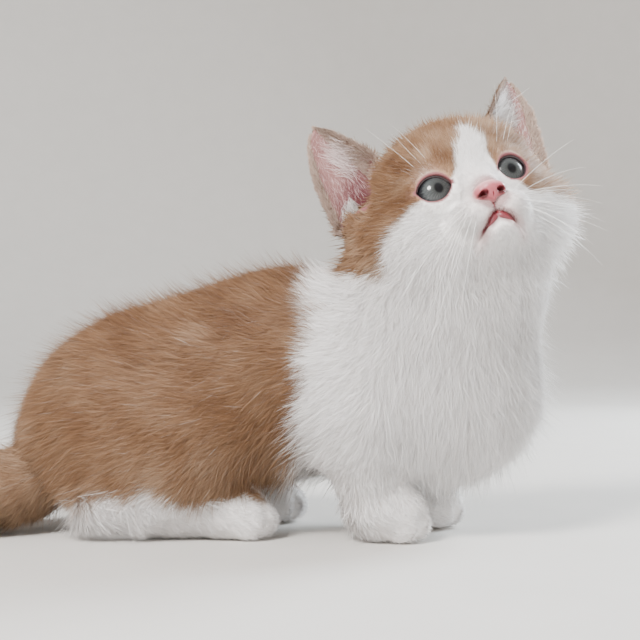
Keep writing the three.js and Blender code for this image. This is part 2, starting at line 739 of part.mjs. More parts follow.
function earGeometry(s) {
  const at3 = ([x, y, z]) => new THREE.Vector3(x, y * s, z);
  const [tip, inner, outer] = [at3(EAR.tip), at3(EAR.inner), at3(EAR.outer)];
  const root = inner.clone().add(outer).multiplyScalar(0.5);
  const across = outer.clone().sub(inner).multiplyScalar(0.5);
  const up = tip.clone().sub(root);
  const front = across.clone().cross(up).multiplyScalar(s).normalize();
  const positions = [];
  const indices = [];
  for (const back of [0, 1])
    for (let r = 0; r <= EAR_ROWS; r++)
      for (let c = 0; c <= EAR_COLUMNS; c++) {
        const v = (r / EAR_ROWS) * (1 + EAR_SUNK) - EAR_SUNK;
        const u = (2 * c) / EAR_COLUMNS - 1;
        const taper = Math.max(0, 1 - v) ** (EAR.straight - EAR.uneven * u) + 0.07 * Math.max(v, 0);
        const cup = EAR.cup * (1 - 0.75 * v) * (u * u - 1) + EAR.bow * v * (1 - v);
        const thick = back * EAR_THICKNESS * (1 - 0.4 * v);
        const p = root.clone().addScaledVector(up, v).addScaledVector(across, u * taper);
        p.addScaledVector(front, cup - thick);
        positions.push(p.x, p.y, p.z);
      }
  const perSide = (EAR_ROWS + 1) * (EAR_COLUMNS + 1);
  const at = (side, r, c) => side * perSide + r * (EAR_COLUMNS + 1) + c;
  const quad = (a, b, c, d) => indices.push(...(s < 0 ? [a, b, c, a, c, d] : [a, c, b, a, d, c]));
  for (let r = 0; r < EAR_ROWS; r++)
    for (let c = 0; c < EAR_COLUMNS; c++) {
      quad(at(0, r, c), at(0, r + 1, c), at(0, r + 1, c + 1), at(0, r, c + 1));
      quad(at(1, r, c), at(1, r, c + 1), at(1, r + 1, c + 1), at(1, r + 1, c));
    }
  for (let c = 0; c < EAR_COLUMNS; c++) {
    quad(at(0, 0, c), at(0, 0, c + 1), at(1, 0, c + 1), at(1, 0, c));
    quad(at(0, EAR_ROWS, c + 1), at(0, EAR_ROWS, c), at(1, EAR_ROWS, c), at(1, EAR_ROWS, c + 1));
  }
  for (let r = 0; r < EAR_ROWS; r++) {
    quad(at(0, r + 1, 0), at(0, r, 0), at(1, r, 0), at(1, r + 1, 0));
    const last = EAR_COLUMNS;
    quad(at(0, r, last), at(0, r + 1, last), at(1, r + 1, last), at(1, r, last));
  }
  const geometry = new THREE.BufferGeometry();
  geometry.setAttribute("position", new THREE.Float32BufferAttribute(positions, 3));
  geometry.setIndex(indices);
  return geometry;
}

const grownHead = solidOf(surfaceOf((x, y, z) => kittenFromHead(x, y, z) - GAP, headAxes));
for (const [side, s] of Object.entries(SIDES)) {
  add(head, `ear_${side}`, largest(solidOf(earGeometry(s)).subtract(grownHead)), gingerCoat);
  add(head, `eye_${side}`, eyeball(s), material(EYE_GREY, 0.1));
}

// The origin lies under the middle of the whole kitten.
kitten.updateMatrixWorld(true);
const extent = new THREE.Box3().setFromObject(kitten, true);
const middle = extent.getCenter(new THREE.Vector3());
kitten.position.set(-middle.x, -middle.y, 0);

export default kitten;
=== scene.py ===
import math

import bpy
import numpy as np
from mathutils import Euler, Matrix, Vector


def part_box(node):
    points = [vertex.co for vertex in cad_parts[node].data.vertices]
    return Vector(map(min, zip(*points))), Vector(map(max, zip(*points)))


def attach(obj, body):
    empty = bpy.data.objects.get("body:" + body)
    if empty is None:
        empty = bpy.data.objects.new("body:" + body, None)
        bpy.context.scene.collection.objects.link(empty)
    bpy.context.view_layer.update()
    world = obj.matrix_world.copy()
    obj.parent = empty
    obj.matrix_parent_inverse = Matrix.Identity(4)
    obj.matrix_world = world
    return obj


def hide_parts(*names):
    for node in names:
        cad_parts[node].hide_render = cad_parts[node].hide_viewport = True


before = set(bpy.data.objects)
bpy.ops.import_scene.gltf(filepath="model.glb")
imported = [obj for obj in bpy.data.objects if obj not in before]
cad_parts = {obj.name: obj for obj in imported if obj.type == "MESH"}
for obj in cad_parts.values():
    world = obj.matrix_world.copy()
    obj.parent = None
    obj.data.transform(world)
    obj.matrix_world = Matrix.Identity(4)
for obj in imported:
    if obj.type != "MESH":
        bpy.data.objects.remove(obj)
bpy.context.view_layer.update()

# The flesh and skin of the whole kitten, from nose leather to tail tip: one soft closed hide
# over its small frame, with no seam. The coat grows out of it, so it lies deeper than the
# coat's tips by the depth of the hair.
HEAD_AT = np.array([52.8, -5.3, 114.2])  # millimetres, like all lengths up to placed()
HEAD_TURN = -77.0  # degrees, to the kitten's right
HEAD_LIFT = 20.0
HEAD_TILT = 17.5
EYE_AT = (15.2, 13.0, 3.5)  # the left eye's middle, from the head's
EYEBALL = 8.8  # radius
LID = 0.9
SIDES = (("right", -1), ("left", 1))
FAR = 1e3  # farther off than any form

head_angles = [math.radians(angle) for angle in (HEAD_TILT, -HEAD_LIFT, HEAD_TURN)]
head_turned = np.array(Euler(head_angles, "XYZ").to_matrix())


def from_head(point):
    """Places in the head's own frame, as places about the whole kitten."""
    return HEAD_AT + np.asarray(point, float) @ head_turned.T


def into_head(points):
    """Places about the kitten, in the head's frame: ahead, to its left and up."""
    return (points - HEAD_AT) @ head_turned


def facing(ways):
    """Ways in the head's frame, as ways about the whole kitten."""
    return ways @ head_turned.T


def eye_at(side):
    """The middle of one eye, in the head's frame."""
    return np.array([EYE_AT[0], side * EYE_AT[1], EYE_AT[2]])


def turned_about_up(degrees):
    """A turn about the upright, as a matrix."""
    c, s = math.cos(math.radians(degrees)), math.sin(math.radians(degrees))
    return np.array([[c, -s, 0.0], [s, c, 0.0], [0.0, 0.0, 1.0]])


def lobe(centre, radii, blend, yaw=0.0, pitch=0.0):
    """A rounded lobe of flesh, as a distance from its surface."""
    c, s = math.cos(math.radians(pitch)), math.sin(math.radians(pitch))
    pitched = np.array([[c, 0.0, -s], [0.0, 1.0, 0.0], [s, 0.0, c]])
    axes = turned_about_up(yaw) @ pitched
    centre = np.asarray(centre, float)
    radii = np.asarray(radii, float)

    def distance(points):
        own = (points - centre) @ axes
        near = np.sqrt(((own / radii) ** 2).sum(-1))
        slope = np.sqrt(((own / radii**2) ** 2).sum(-1))
        return np.where(slope < 1e-7, -radii.min(), near * (near - 1.0) / np.maximum(slope, 1e-7))

    return distance, blend, centre, radii.max()


def limb(start, end, radius_start, radius_end, blend):
    """A tapered round length from one joint to the next."""
    start = np.asarray(start, float)
    along = np.asarray(end, float) - start

    def distance(points):
        own = points - start
        t = np.clip((own @ along) / (along @ along), 0.0, 1.0)
        away = np.sqrt(((own - t[..., None] * along) ** 2).sum(-1))
        return away - (radius_start + t * (radius_end - radius_start))

    reach = np.linalg.norm(along) / 2 + max(radius_start, radius_end)
    return distance, blend, start + along / 2, reach


TOE = {"radii": (7.0, 3.9, 7.6), "height": 7.0, "ahead": 3.5}


def toes(x, y, yaw, spread):
    """Four toes side by side, the middle two ahead of the outer two."""
    made = []
    for n in (-1.5, -0.5, 0.5, 1.5):
        ahead = TOE["ahead"] if abs(n) < 1 else 0.0
        at = turned_about_up(yaw) @ np.array([ahead, n * spread / 2.4, 0.0])
        made.append(lobe((x + at[0], y + at[1], TOE["height"]), TOE["radii"], 1.6, yaw))
    return made


def foreleg(x, y):
    """A short straight foreleg with its paw."""
    return [
        limb((x - 8, y * 1.05, 44), (x - 4, y, 16), 18, 12.5, 10),
        lobe((x + 1, y, 10), (15, 12.8, 11.5), 5),
        *toes(x + 6, y, 0, 12),
    ]


def hind_leg(heel, toe, side):
    """A folded thigh over a long foot that lies flat from heel to toes."""
    yaw = math.degrees(math.atan2(toe[1] - heel[1], toe[0] - heel[0]))
    return [
        lobe((-54, side * 23, 31), (37, 19, 27), 10, 0, 12),
        limb((*heel, 11), (*toe, 9.5), 11.5, 10.5, 6),
        lobe((toe[0] + 1, toe[1], 9.5), (13, 11.5, 10.5), 4, yaw),
        *toes(toe[0] + 6, toe[1], yaw, 11),
    ]


# Place and radius at each joint of the tail.
TAIL = np.array([
    (-90, -1, 36, 17),
    (-104, -12, 21, 15.5),
    (-120, -27, 14, 14.4),
    (-142, -38, 12.6, 13.4),
    (-166, -44, 11.8, 12.4),
    (-187, -46, 10.6, 11.2),
    (-203, -46, 9, 9.4),
], float)


def along_tail(steps):
    """Points and radii on a smooth curve through the tail's joints."""
    ends = np.vstack([2 * TAIL[0] - TAIL[1], TAIL, 2 * TAIL[-1] - TAIL[-2]])
    places = []
    for share in np.linspace(0, len(TAIL) - 1 - 1e-9, steps):
        i = int(share)
        t = share - i
        p, q, r, s = ends[i : i + 4]
        squared = (2 * p - 5 * q + 4 * r - s) * t * t
        cubed = (3 * q - p - 3 * r + s) * t**3
        curve = 0.5 * (2 * q + (r - p) * t + squared + cubed)
        curve[3] = q[3] * (1 - t) + r[3] * t
        places.append(curve)
    return np.array(places)


FORE_FOOT = {"right": (25, -18), "left": (36, 17)}
HIND_HEEL = {"right": (-75, -27), "left": (-72, 27)}
HIND_TOE = {"right": (-29, -20), "left": (-25, 23)}

torso_and_neck = [
    lobe((40, 1, 58), (41, 34, 41), 12),  # chest
    lobe((-4, 1, 59), (56, 35, 39), 18),  # ribs and belly
    lobe((-50, 0, 49), (52, 37, 36), 16),  # loins
    lobe((-80, 0, 36), (33, 35, 31), 14),  # rump
    lobe((47, -3, 91), (37, 32, 31), 14),  # neck
]
tail_line = along_tail(21)
tail_lengths = [
    limb(a[:3], b[:3], a[3], b[3], 10 if i == 0 else 1)
    for i, (a, b) in enumerate(zip(tail_line[:-1], tail_line[1:]))
]
legs = []
for side_name, side in SIDES:
    legs += foreleg(*FORE_FOOT[side_name])
    legs += hind_leg(HIND_HEEL[side_name], HIND_TOE[side_name], side)
body_forms = torso_and_neck + tail_lengths + legs

head_forms = [
    lobe((-5, 0, 6.5), (29.5, 33, 28), 8),  # skull
    lobe((6, 0, 13.5), (21, 28, 19.5), 10),  # forehead
    *[lobe((-10, side * 31, 10), (13, 9.5, 14), 7) for _, side in SIDES],  # roots of the ears
    *[lobe((-2, side * 17.5, -8), (25, 22, 18), 12) for _, side in SIDES],  # cheeks
    lobe((4, 0, -18), (23, 24, 13), 10),  # throat
    limb((12, 0, 8), (28, 0, -3.5), 10.5, 5.8, 8),  # bridge of the nose
    *[lobe((24.5, side * 6, -12.5), (9.8, 8.2, 7), 4) for _, side in SIDES],  # pads of the muzzle
    lobe((21.5, 0, -19.5), (9.5, 8, 5.6), 3),  # chin
]
lid_forms = [lobe(eye_at(side), (EYEBALL + LID,) * 3, 3) for _, side in SIDES]
HEAD_BLEND = 9.0  # how softly the head runs into the neck


def smooth_min(a, b, width):
    """The nearer of two surfaces, rounded where they meet."""
    near = np.maximum(width - np.abs(a - b), 0.0) / width
    return np.minimum(a, b) - near * near * width / 4


def eased(low, high, value):
    """Rises from 0 to 1 as the value goes from low to high."""
    t = np.clip((value - low) / (high - low), 0.0, 1.0)
    return t * t * (3 - 2 * t)


def swell(value, width):
    """A soft hump: 1 where the value is 0, gone within about two widths."""
    return np.exp(-((value / width) ** 2))


# How the coat differs from place to place: depth over the skin, length of the hair and width
# of a tuft, in millimetres. Each later place lies over the earlier ones, and over the back.
BACK_COAT = (3.2, 10.4, 0.3)
COAT_PLACES = [
    ((62, 0, 60), 42, (3.6, 11.5, 0.3)),  # chest
    ((-60, 0, 20), 46, (3.0, 10.0, 0.3)),  # thighs
    ((-4, -25, 24), 19, (3.2, 13.5, 0.3)),  # sides of the belly
    ((-4, 26, 24), 19, (3.2, 13.5, 0.3)),
    ((20, -18, 22), 20, (2.4, 6.5, 0.3)),  # forelegs
    ((31, 17, 22), 20, (2.4, 6.5, 0.3)),
    ((-150, -40, 12), 46, (3.6, 9.0, 0.33)),  # tail
    (from_head((-6, 0, 0)), 50, (2.6, 5.6, 0.29)),  # head
    *[(from_head((0, side * 30, -14)), 18, (3.0, 7.5, 0.29)) for _, side in SIDES],  # cheeks
    (from_head((16, 0, 10)), 27, (1.6, 4.2, 0.24)),  # forehead
    (from_head((26, 0, -10)), 17, (1.0, 2.5, 0.2)),  # muzzle
    *[(from_head((19, side * 13, 4)), 10, (1.0, 2.1, 0.19)) for _, side in SIDES],  # eyes
    (from_head((34, 0, -8)), 8, (0.8, 1.2, 0.17)),  # nose
    *[(from_head((1, side * 32, 17)), 10, (1.6, 3.4, 0.24)) for _, side in SIDES],  # roots of the ears
    ((32, -18, 5), 15, (1.1, 2.9, 0.26)),  # forepaws
    ((43, 17, 5), 15, (1.1, 2.9, 0.26)),
    ((-26, -20, 5), 17, (1.1, 3.1, 0.26)),  # toes of the hind feet
    ((-22, 23, 5), 17, (1.1, 3.1, 0.26)),
    ((-50, -24, 5), 15, (1.6, 4.8, 0.28)),  # heels
    ((-48, 25, 5), 15, (1.6, 4.8, 0.28)),
]


def coat_at(points):
    """Depth, length and width of the coat at each point."""
    found = np.empty(points.shape[:-1] + (3,))
    found[...] = BACK_COAT
    for centre, radius, values in COAT_PLACES:
        away = np.sqrt(((points - centre) ** 2).sum(-1))
        share = 1 - eased(radius * 0.7, radius * 1.3, away)
        found += share[..., None] * (np.array(values) - found)
    return found


# The opening between the lids, in millimetres, then how it is turned, in degrees.
SLIT = {"half": 6.3, "upper": 4.55, "lower": 4.95, "slant": 5.0, "outward": 11.0}


def eye_frame(side):
    """Turns a point of the head into the frame of one eye: outward, across and up."""
    slant, outward = math.radians(SLIT["slant"] * side), math.radians(SLIT["outward"] * side)
    return np.array(Euler((slant, 0.0, outward), "XYZ").to_matrix())


def lid_edge(across):
    """Heights of the upper and the lower lid's edge over the eye's own width."""
    t = np.clip(across / SLIT["half"], -1.0, 1.0)
    arch = np.maximum(1 - np.abs(t) ** 2.3, 0.0) ** 0.8
    return SLIT["upper"] * arch, -SLIT["lower"] * arch


def eye_opening(head_points):
    """Distance from the almond openings between the lids, negative inside them."""
    found = np.full(head_points.shape[:-1], FAR)
    for _, side in SIDES:
        own = (head_points - eye_at(side)) @ eye_frame(side)
        upper, lower = lid_edge(own[..., 1])
        away = np.maximum(own[..., 2] - upper, lower - own[..., 2])
        away = np.maximum(away, np.abs(own[..., 1]) - SLIT["half"])
        found = np.minimum(found, np.maximum(away, 2.0 - own[..., 0]))
    return found


# The mouth's height at the groove, its half width and how far its corners lie lower.
LIP = {"apex": -13.4, "corner": 8.8, "drop": 7.4}
# Depth of the mouth's line and of the cleft over it.
GROOVE = {"line": 1.2, "cleft": 0.8}


def lip_height(across):
    """The mouth's line: an arch under each half of the muzzle, met at the groove."""
    t = np.clip(np.abs(across) / LIP["corner"], 0.0, 1.0)
    return LIP["apex"] - LIP["drop"] * t**1.2


def mouth_groove(head_points):
    """How far the mouth's line and the groove below the nose are drawn in."""
    x, y, z = np.moveaxis(head_points, -1, 0)
    ahead = eased(14.0, 22.0, x)
    line = swell(z - lip_height(y), 0.9) * (1 - eased(6.5, 9.5, np.abs(y)))
    cleft = swell(y, 0.7) * eased(-14.8, -13.2, z) * (1 - eased(-10.4, -8.8, z))
    return ahead * (GROOVE["line"] * line + GROOVE["cleft"] * cleft)


EAR_HOLLOWS = [lobe((-2.5, side * 34.0, 20.5), (10.5, 9.0, 11.5), 4) for _, side in SIDES]
EDGES = {"hollow": 3.0, "lid": 0.6}  # how round the edges of the openings are


def hollow_away(head_points):
    """Distance outside the hollows at the ears' roots."""
    return np.minimum(EAR_HOLLOWS[0][0](head_points), EAR_HOLLOWS[1][0](head_points))


def flesh(points):
    """The distance from the skin's surface, negative inside, at any points."""
    body = np.full(points.shape[:-1], FAR)
    for distance, blend, _, _ in body_forms:
        body = smooth_min(body, distance(points), blend)
    own = into_head(points)
    head = np.full(points.shape[:-1], FAR)
    for distance, blend, _, _ in head_forms:
        head = smooth_min(head, distance(own), blend)
    return finished_flesh(points, own, smooth_min(body, head, HEAD_BLEND))


def finished_flesh(points, own, whole):
    """Takes the coat's depth off, then adds the lids, their openings and the mouth."""
    whole = whole + coat_at(points)[..., 0]
    for distance, blend, _, _ in lid_forms:
        whole = smooth_min(whole, distance(own), blend)
    whole = whole + mouth_groove(own)
    whole = -smooth_min(-whole, hollow_away(own), EDGES["hollow"])
    return -smooth_min(-whole, eye_opening(own), EDGES["lid"])


NEAR_FORM = 4  # how far round a form its distance is measured
NEAR_SKIN = 12  # how close to the surface the lids, mouth and coat count


def flesh_on_grid(axes):
    """The same distance on a grid, where each form is measured only near itself."""
    size = [len(a) for a in axes]
    body = np.full(size, FAR, np.float32)
    head = np.full(size, FAR, np.float32)

    def part_near(centre, reach):
        cut = []
        for axis, middle in zip(axes, centre):
            cut.append(slice(*np.searchsorted(axis, (middle - reach, middle + reach))))
        return tuple(cut)

    def points_in(cut):
        return np.stack(np.meshgrid(*[a[c] for a, c in zip(axes, cut)], indexing="ij"), -1)

    for distance, blend, centre, reach in body_forms:
        cut = part_near(centre, reach + blend + NEAR_FORM)
        body[cut] = smooth_min(body[cut], distance(points_in(cut)), blend)
    for distance, blend, centre, reach in head_forms:
        cut = part_near(from_head(centre), reach + blend + NEAR_FORM)
        head[cut] = smooth_min(head[cut], distance(into_head(points_in(cut))), blend)
    whole = smooth_min(body, head, HEAD_BLEND)
    near = np.abs(whole) < NEAR_SKIN
    places = np.stack([axes[a][index] for a, index in enumerate(np.nonzero(near))], -1)
    whole[near] = finished_flesh(places, into_head(places), whole[near])
    return whole


def graded(stretches):
    """Steps along one axis: each stretch is its start, its end and its step."""
    steps = [np.linspace(a, b, int(math.ceil((b - a) / step)) + 1)[:-1] for a, b, step in stretches]
    return np.concatenate(steps + [[stretches[-1][1]]])


def surface_in(value, axes):
    """A mesh of quads with one vertex in each cell that the surface crosses."""
    inside = value < 0
    full = np.zeros([n - 1 for n in value.shape], np.uint8)
    for i in (0, 1):
        for j in (0, 1):
            for k in (0, 1):
                full += inside[i : i + full.shape[0], j : j + full.shape[1], k : k + full.shape[2]]
    cells = np.argwhere((full > 0) & (full < 8))
    total = np.zeros((len(cells), 3))
    crossings = np.zeros(len(cells))
    for a in range(3):
        b, c = (a + 1) % 3, (a + 2) % 3
        for u in (0, 1):
            for v in (0, 1):
                low = cells.copy()
                low[:, b] += u
                low[:, c] += v
                high = low.copy()
                high[:, a] += 1
                d_low, d_high = value[tuple(low.T)], value[tuple(high.T)]
                met = (d_low < 0) != (d_high < 0)
                t = np.where(met, d_low / np.where(met, d_low - d_high, 1.0), 0.0)
                for axis in range(3):
                    steps = axes[axis]
                    total[:, axis] += met * (steps[low[:, axis]] * (1 - t) + steps[high[:, axis]] * t)
                crossings += met
    vertex_at = np.full(full.shape, -1, np.int64)
    vertex_at[tuple(cells.T)] = np.arange(len(cells))
    quads = []
    for a in range(3):
        b, c = (a + 1) % 3, (a + 2) % 3
        low = np.moveaxis(inside, a, 0)[:-1]
        high = np.moveaxis(inside, a, 0)[1:]
        met = np.moveaxis(low != high, 0, a)
        places = np.argwhere(met)
        keep = (places[:, b] > 0) & (places[:, c] > 0)
        keep &= (places[:, b] < full.shape[b]) & (places[:, c] < full.shape[c])
        places = places[keep]
        back_b, back_c = np.eye(3, dtype=int)[b], np.eye(3, dtype=int)[c]
        ring = [places - back_b - back_c, places - back_c, places, places - back_b]
        quad = np.stack([vertex_at[tuple(r.T)] for r in ring], -1)
        outward = inside[tuple(places.T)]
        quads.append(np.where(outward[:, None], quad, quad[:, ::-1]))
    return total / crossings[:, None], np.concatenate(quads)


def slope_of(distance, points):
    """A distance and the way it grows fastest, at each point."""
    step = 0.05
    here = distance(points)
    return here, np.stack([(distance(points + step * e) - here) / step for e in np.eye(3)], -1)


def onto(distance, points, times):
    """Moves points that are close to a surface onto it."""
    for _ in range(times):
        here, slope = slope_of(distance, points)
        steep = np.maximum((slope**2).sum(-1), 0.25)
        shift = np.where(np.abs(here) < 1.0, here / steep, 0.0)
        points = points - shift[:, None] * slope
    return points


def unit(vectors):
    """The same ways, each of length 1."""
    return vectors / np.maximum(np.linalg.norm(vectors, axis=-1, keepdims=True), 1e-9)


# The frame's own place for the kitten, read from where its right eye sits.
eye_low, eye_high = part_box("eye_right")
eye_middle = (np.array(eye_low) + np.array(eye_high)) / 2
SHIFT = eye_middle - from_head(eye_at(-1)) * 0.001
SHIFT[2] = 0.0


def placed(points):
    """From millimetres about the kitten to metres in the frame."""
    return np.asarray(points) * 0.001 + SHIFT


def mesh_of(name, points, faces, material):
    """A smooth piece from points in millimetres and faces of one count of corners."""
    faces = np.asarray(faces)
    mesh = bpy.data.meshes.new(name)
    mesh.vertices.add(len(points))
    mesh.vertices.foreach_set("co", placed(points).astype(np.float32).ravel())
    mesh.loops.add(faces.size)
    mesh.loops.foreach_set("vertex_index", faces.astype(np.int32).ravel())
    mesh.polygons.add(len(faces))
    mesh.polygons.foreach_set("loop_start", np.arange(0, faces.size, faces.shape[1], dtype=np.int32))
    mesh.update(calc_edges=True)
    mesh.validate()
    mesh.shade_smooth()
    mesh.materials.append(material)
    piece = bpy.data.objects.new(name, mesh)
    bpy.context.scene.collection.objects.link(piece)
    return piece


def give(piece, name, values, kind="FLOAT"):
    """Writes one value for each vertex, read by the piece's material."""
    layer = piece.data.attributes.new(name, kind, "POINT")
    field = "vector" if kind == "FLOAT_VECTOR" else "value"
    layer.data.foreach_set(field, np.ravel(values).astype(np.float32))


def lay_flat(piece, flat):
    """Gives the piece its map: where each vertex lies on the flat pattern."""
    corners = np.empty(len(piece.data.loops), np.int32)
    piece.data.loops.foreach_get("vertex_index", corners)
    layer = piece.data.uv_layers.new(name="OFBake")
    layer.data.foreach_set("uv", flat[corners].astype(np.float32).ravel())


# Steps of the grid along each axis, finest round the face.
SKIN_STEPS = [
    [(-218, 14, 2.2), (14, 36, 1.0), (36, 84, 0.5), (84, 96, 1.0)],
    [(-62, -56, 2.0), (-56, -46, 1.0), (-46, -12, 0.5), (-12, 42, 1.0), (42, 52, 2.0)],
    [(-4, 78, 2.2), (78, 94, 1.0), (94, 142, 0.5), (142, 164, 1.0)],
]
SOLE_HEIGHT = 0.6  # of the skin over the floor, for the hair under the soles
skin_axes = [graded(stretches) for stretches in SKIN_STEPS]
skin_points, skin_faces = surface_in(flesh_on_grid(skin_axes), skin_axes)
skin_points = onto(flesh, skin_points, 2)
skin_points[:, 2] = np.maximum(skin_points[:, 2], SOLE_HEIGHT)
_, skin_slopes = slope_of(flesh, skin_points)
skin_normals = unit(skin_slopes)

# The plane between head and body, and the borders of the ginger: how far ahead it reaches at
# each height of the body, how low along the body, and how low at each turn round the head.
HEAD_CUT_AT = np.array([46.0, -6.0, 93.0])
HEAD_CUT_UP = unit(np.array([0.08, -0.3, 0.95]))
BODY_BORDER = np.array([
    (0, -6), (24, -5), (39, 1), (50, 0), (60, 2), (73, 4), (80, 7), (85, 11), (100, 15),
], float)
FOOT_BORDER = np.array([(-96, 12), (-84, 17), (-64, 20), (-43, 19), (-24, 15), (0, 12)], float)
CHEEK_RIGHT = np.array([
    (0, 5), (20, 4), (36, 1), (43, 0), (52, -4), (60, -4),
    (68, -7), (71, -12), (78, -14), (90, -8), (120, -8), (180, -12),
], float)
CHEEK_LEFT = np.array([
    (0, 5), (20, 3), (30, 0), (37, -7), (48, -7), (56, -8),
    (68, -10), (74, -13), (84, -12), (95, -8), (120, -8), (180, -12),
], float)
# The white blaze by its height, middle and half width, the stripe on the cheek and the pale
# spot over the eye, both drawn on the left and mirrored, and the middles of the nose's pink.
BLAZE = np.array([
    (-30, 0, 30), (-2, 0, 14), (3, 0, 8.8), (8, 0, 7.2), (13, 3, 5.4), (19, 3, 2.6), (24, 3, -3),
], float)
CHEEK_STRIPE = np.array([
    (22.5, 21.5, 4.6), (17, 27, 5.8), (12, 31.5, 5.6), (10.4, 35, 2.4), (11.5, 37.5, -4),
], float)
PALE_BROW = np.array([22.0, 15.0, 9.5])
NOSE_FLUSH_AT = np.array([33.0, 0.0, -7.5])
NOSE_BARE_AT = np.array([33.0, 0.0, -7.0])


def rippled(points, size, seed):
    """Soft, even variation over a shape, from about -1 to 1, with waves of one rough size."""
    draw = np.random.default_rng(seed)
    total = np.zeros(points.shape[:-1])
    for octave in range(3):
        for _ in range(8):
            way = unit(draw.normal(size=3)) * draw.uniform(0.7, 1.3) * math.tau * 2**octave / size
            total += np.sin(points @ way + draw.uniform(0, math.tau)) * 0.36 / 1.7**octave
    return total


def away_from_line(points, line):
    """How far points lie from a line through given corners."""
    nearest = np.full(points.shape[:-1], FAR)
    for a, b in zip(line[:-1], line[1:]):
        t = np.clip(((points - a) @ (b - a)) / ((b - a) @ (b - a)), 0, 1)
        nearest = np.minimum(nearest, np.linalg.norm(points - a - t[..., None] * (b - a), axis=-1))
    return nearest


def markings(points):
    """Share of ginger hair, and how dark it is, at each point of skin or coat."""
    x, y, z = points.T
    own = into_head(points)
    turn = np.degrees(np.arctan2(np.abs(own[:, 1]), own[:, 0]))
    ragged = rippled(points, 9.0, 3)
    right = np.interp(turn, *CHEEK_RIGHT.T)
    left = np.interp(turn, *CHEEK_LEFT.T)
    cheek = eased(-1.6, 1.6, own[:, 2] - np.where(own[:, 1] < 0, right, left) + 0.9 * ragged)
    middle = np.interp(own[:, 2], BLAZE[:, 0], BLAZE[:, 1])
    half = np.interp(own[:, 2], BLAZE[:, 0], BLAZE[:, 2])
    beside = np.abs(own[:, 1] - middle) - half + 0.7 * ragged
    blaze = eased(0.9, -0.9, beside) * eased(8.0, 14.0, own[:, 0])
    head = cheek * (1 - blaze)
    back = eased(3.2, -3.2, x - np.interp(z, *BODY_BORDER.T) + 2.6 * ragged)
    low = eased(-2.5, 2.5, z - np.interp(x, *FOOT_BORDER.T) + 1.2 * ragged)
    belly = eased(26, 20, z) * eased(24, 18, np.abs(y)) * eased(-84, -76, x)
    body = back * np.maximum(low, eased(-86, -94, x)) * (1 - belly)
    above = (points - HEAD_CUT_AT) @ HEAD_CUT_UP
    on_head = eased(-3.0, 4.0, above)
    collar = eased(-12.0, -6.0, above) * eased(-2, 4, x)
    ginger = body * (1 - collar) * (1 - on_head) + head * on_head
    mirrored = np.stack([own[:, 0], np.abs(own[:, 1]), own[:, 2]], -1)
    stripe = swell(away_from_line(mirrored, CHEEK_STRIPE), 2.6)
    brow = swell(own[:, 2] - 14, 7) * eased(6, 16, own[:, 0])
    dark = 0.22 * rippled(points, 26.0, 8) + 0.2 * rippled(points, 10.0, 9)
    dark = dark * (0.9 + 0.7 * brow * on_head) + 0.8 * stripe * on_head
    # Darker higher up the body and paler towards the tail; the paling low on the flank is painted light
    # against the shade under the body.
    body_tone_and_painted_light = 0.2 * eased(50, 90, z) - 0.45 * eased(50, 22, z) - 0.3 * eased(-84, -104, x)
    dark = dark + body_tone_and_painted_light * (1 - on_head)
    dark = dark - 0.3 * on_head
    pale = swell(np.linalg.norm(mirrored - PALE_BROW, axis=1), 4.0) * on_head
    return np.clip(ginger * (1 - 0.25 * pale), 0, 1), dark


def flush_at(points):
    """Share of the skin's pink that shows through thin hair, about the muzzle and eyes."""
    own = into_head(points)
    front = eased(19, 25, own[:, 0])
    nose = swell(np.linalg.norm(own - NOSE_FLUSH_AT, axis=1), 6.5)
    lips = swell(own[:, 2] - lip_height(own[:, 1]), 2.6) * eased(11.0, 5.0, np.abs(own[:, 1]))
    lids = swell(np.maximum(eye_opening(own), 0), 1.2) * 0.15
    return np.clip(np.maximum(np.maximum(nose * 0.6, lips * 0.6) * front, lids), 0, 0.75)


def bare_at(points):
    """Share of bare pink skin: the lids' rims, the lips and round the nose leather."""
    own = into_head(points)
    opening = eye_opening(own)
    lids = eased(1.2, 0.6, opening)
    nose = eased(8.5, 5.5, np.linalg.norm(own - NOSE_BARE_AT, axis=1))
    below = lip_height(own[:, 1]) - own[:, 2]
    aside = np.abs(own[:, 1])
    lips = eased(1.8, 0.5, np.abs(below)) * eased(7.5, 5.5, aside) * eased(22, 26, own[:, 0])
    wedge = eased(4.6, 1.4, below) * eased(-0.6, 0.2, below)
    wedge = wedge * eased(5.0, 2.4, aside) * eased(17, 20, own[:, 0])
    hollow = eased(1.2, 0.2, hollow_away(own))
    hollow = hollow * eased(-3.5, -5.5, own[:, 0]) * eased(15.0, 18.0, own[:, 2])
    return np.clip(np.maximum.reduce([lids, nose * 0.7, lips, wedge, hollow]), 0, 1)


def mixed(tree, share, first, second, kind="MIX"):
    """One colour laid over another by a share, which is a socket or a number."""
    node = tree.nodes.new("ShaderNodeMix")
    node.data_type = "RGBA"
    node.blend_type = kind
    for index, value in ((0, share), (6, first), (7, second)):
        if hasattr(value, "links"):
            tree.links.new(value, node.inputs[index])
        elif index:
            node.inputs[index].default_value = (*value, 1.0)
        else:
            node.inputs[index].default_value = value
    return node.outputs[2]


def negated(tree, value):
    """A socket's number times -1."""
    node = tree.nodes.new("ShaderNodeMath")
    node.operation = "MULTIPLY"
    node.inputs[1].default_value = -1.0
    tree.links.new(value, node.inputs[0])
    return node.outputs[0]


def read(tree, name):
    """A value that give() wrote on the piece."""
    node = tree.nodes.new("ShaderNodeAttribute")
    node.attribute_name = name
    return node.outputs["Fac"]


def grain(tree, scale, detail):
    """Noise that stays with the object, in metres."""
    place = tree.nodes.new("ShaderNodeTexCoord")
    noise = tree.nodes.new("ShaderNodeTexNoise")
    noise.inputs["Scale"].default_value = scale
    noise.inputs["Detail"].default_value = detail
    tree.links.new(place.outputs["Object"], noise.inputs["Vector"])
    return noise.outputs["Fac"]


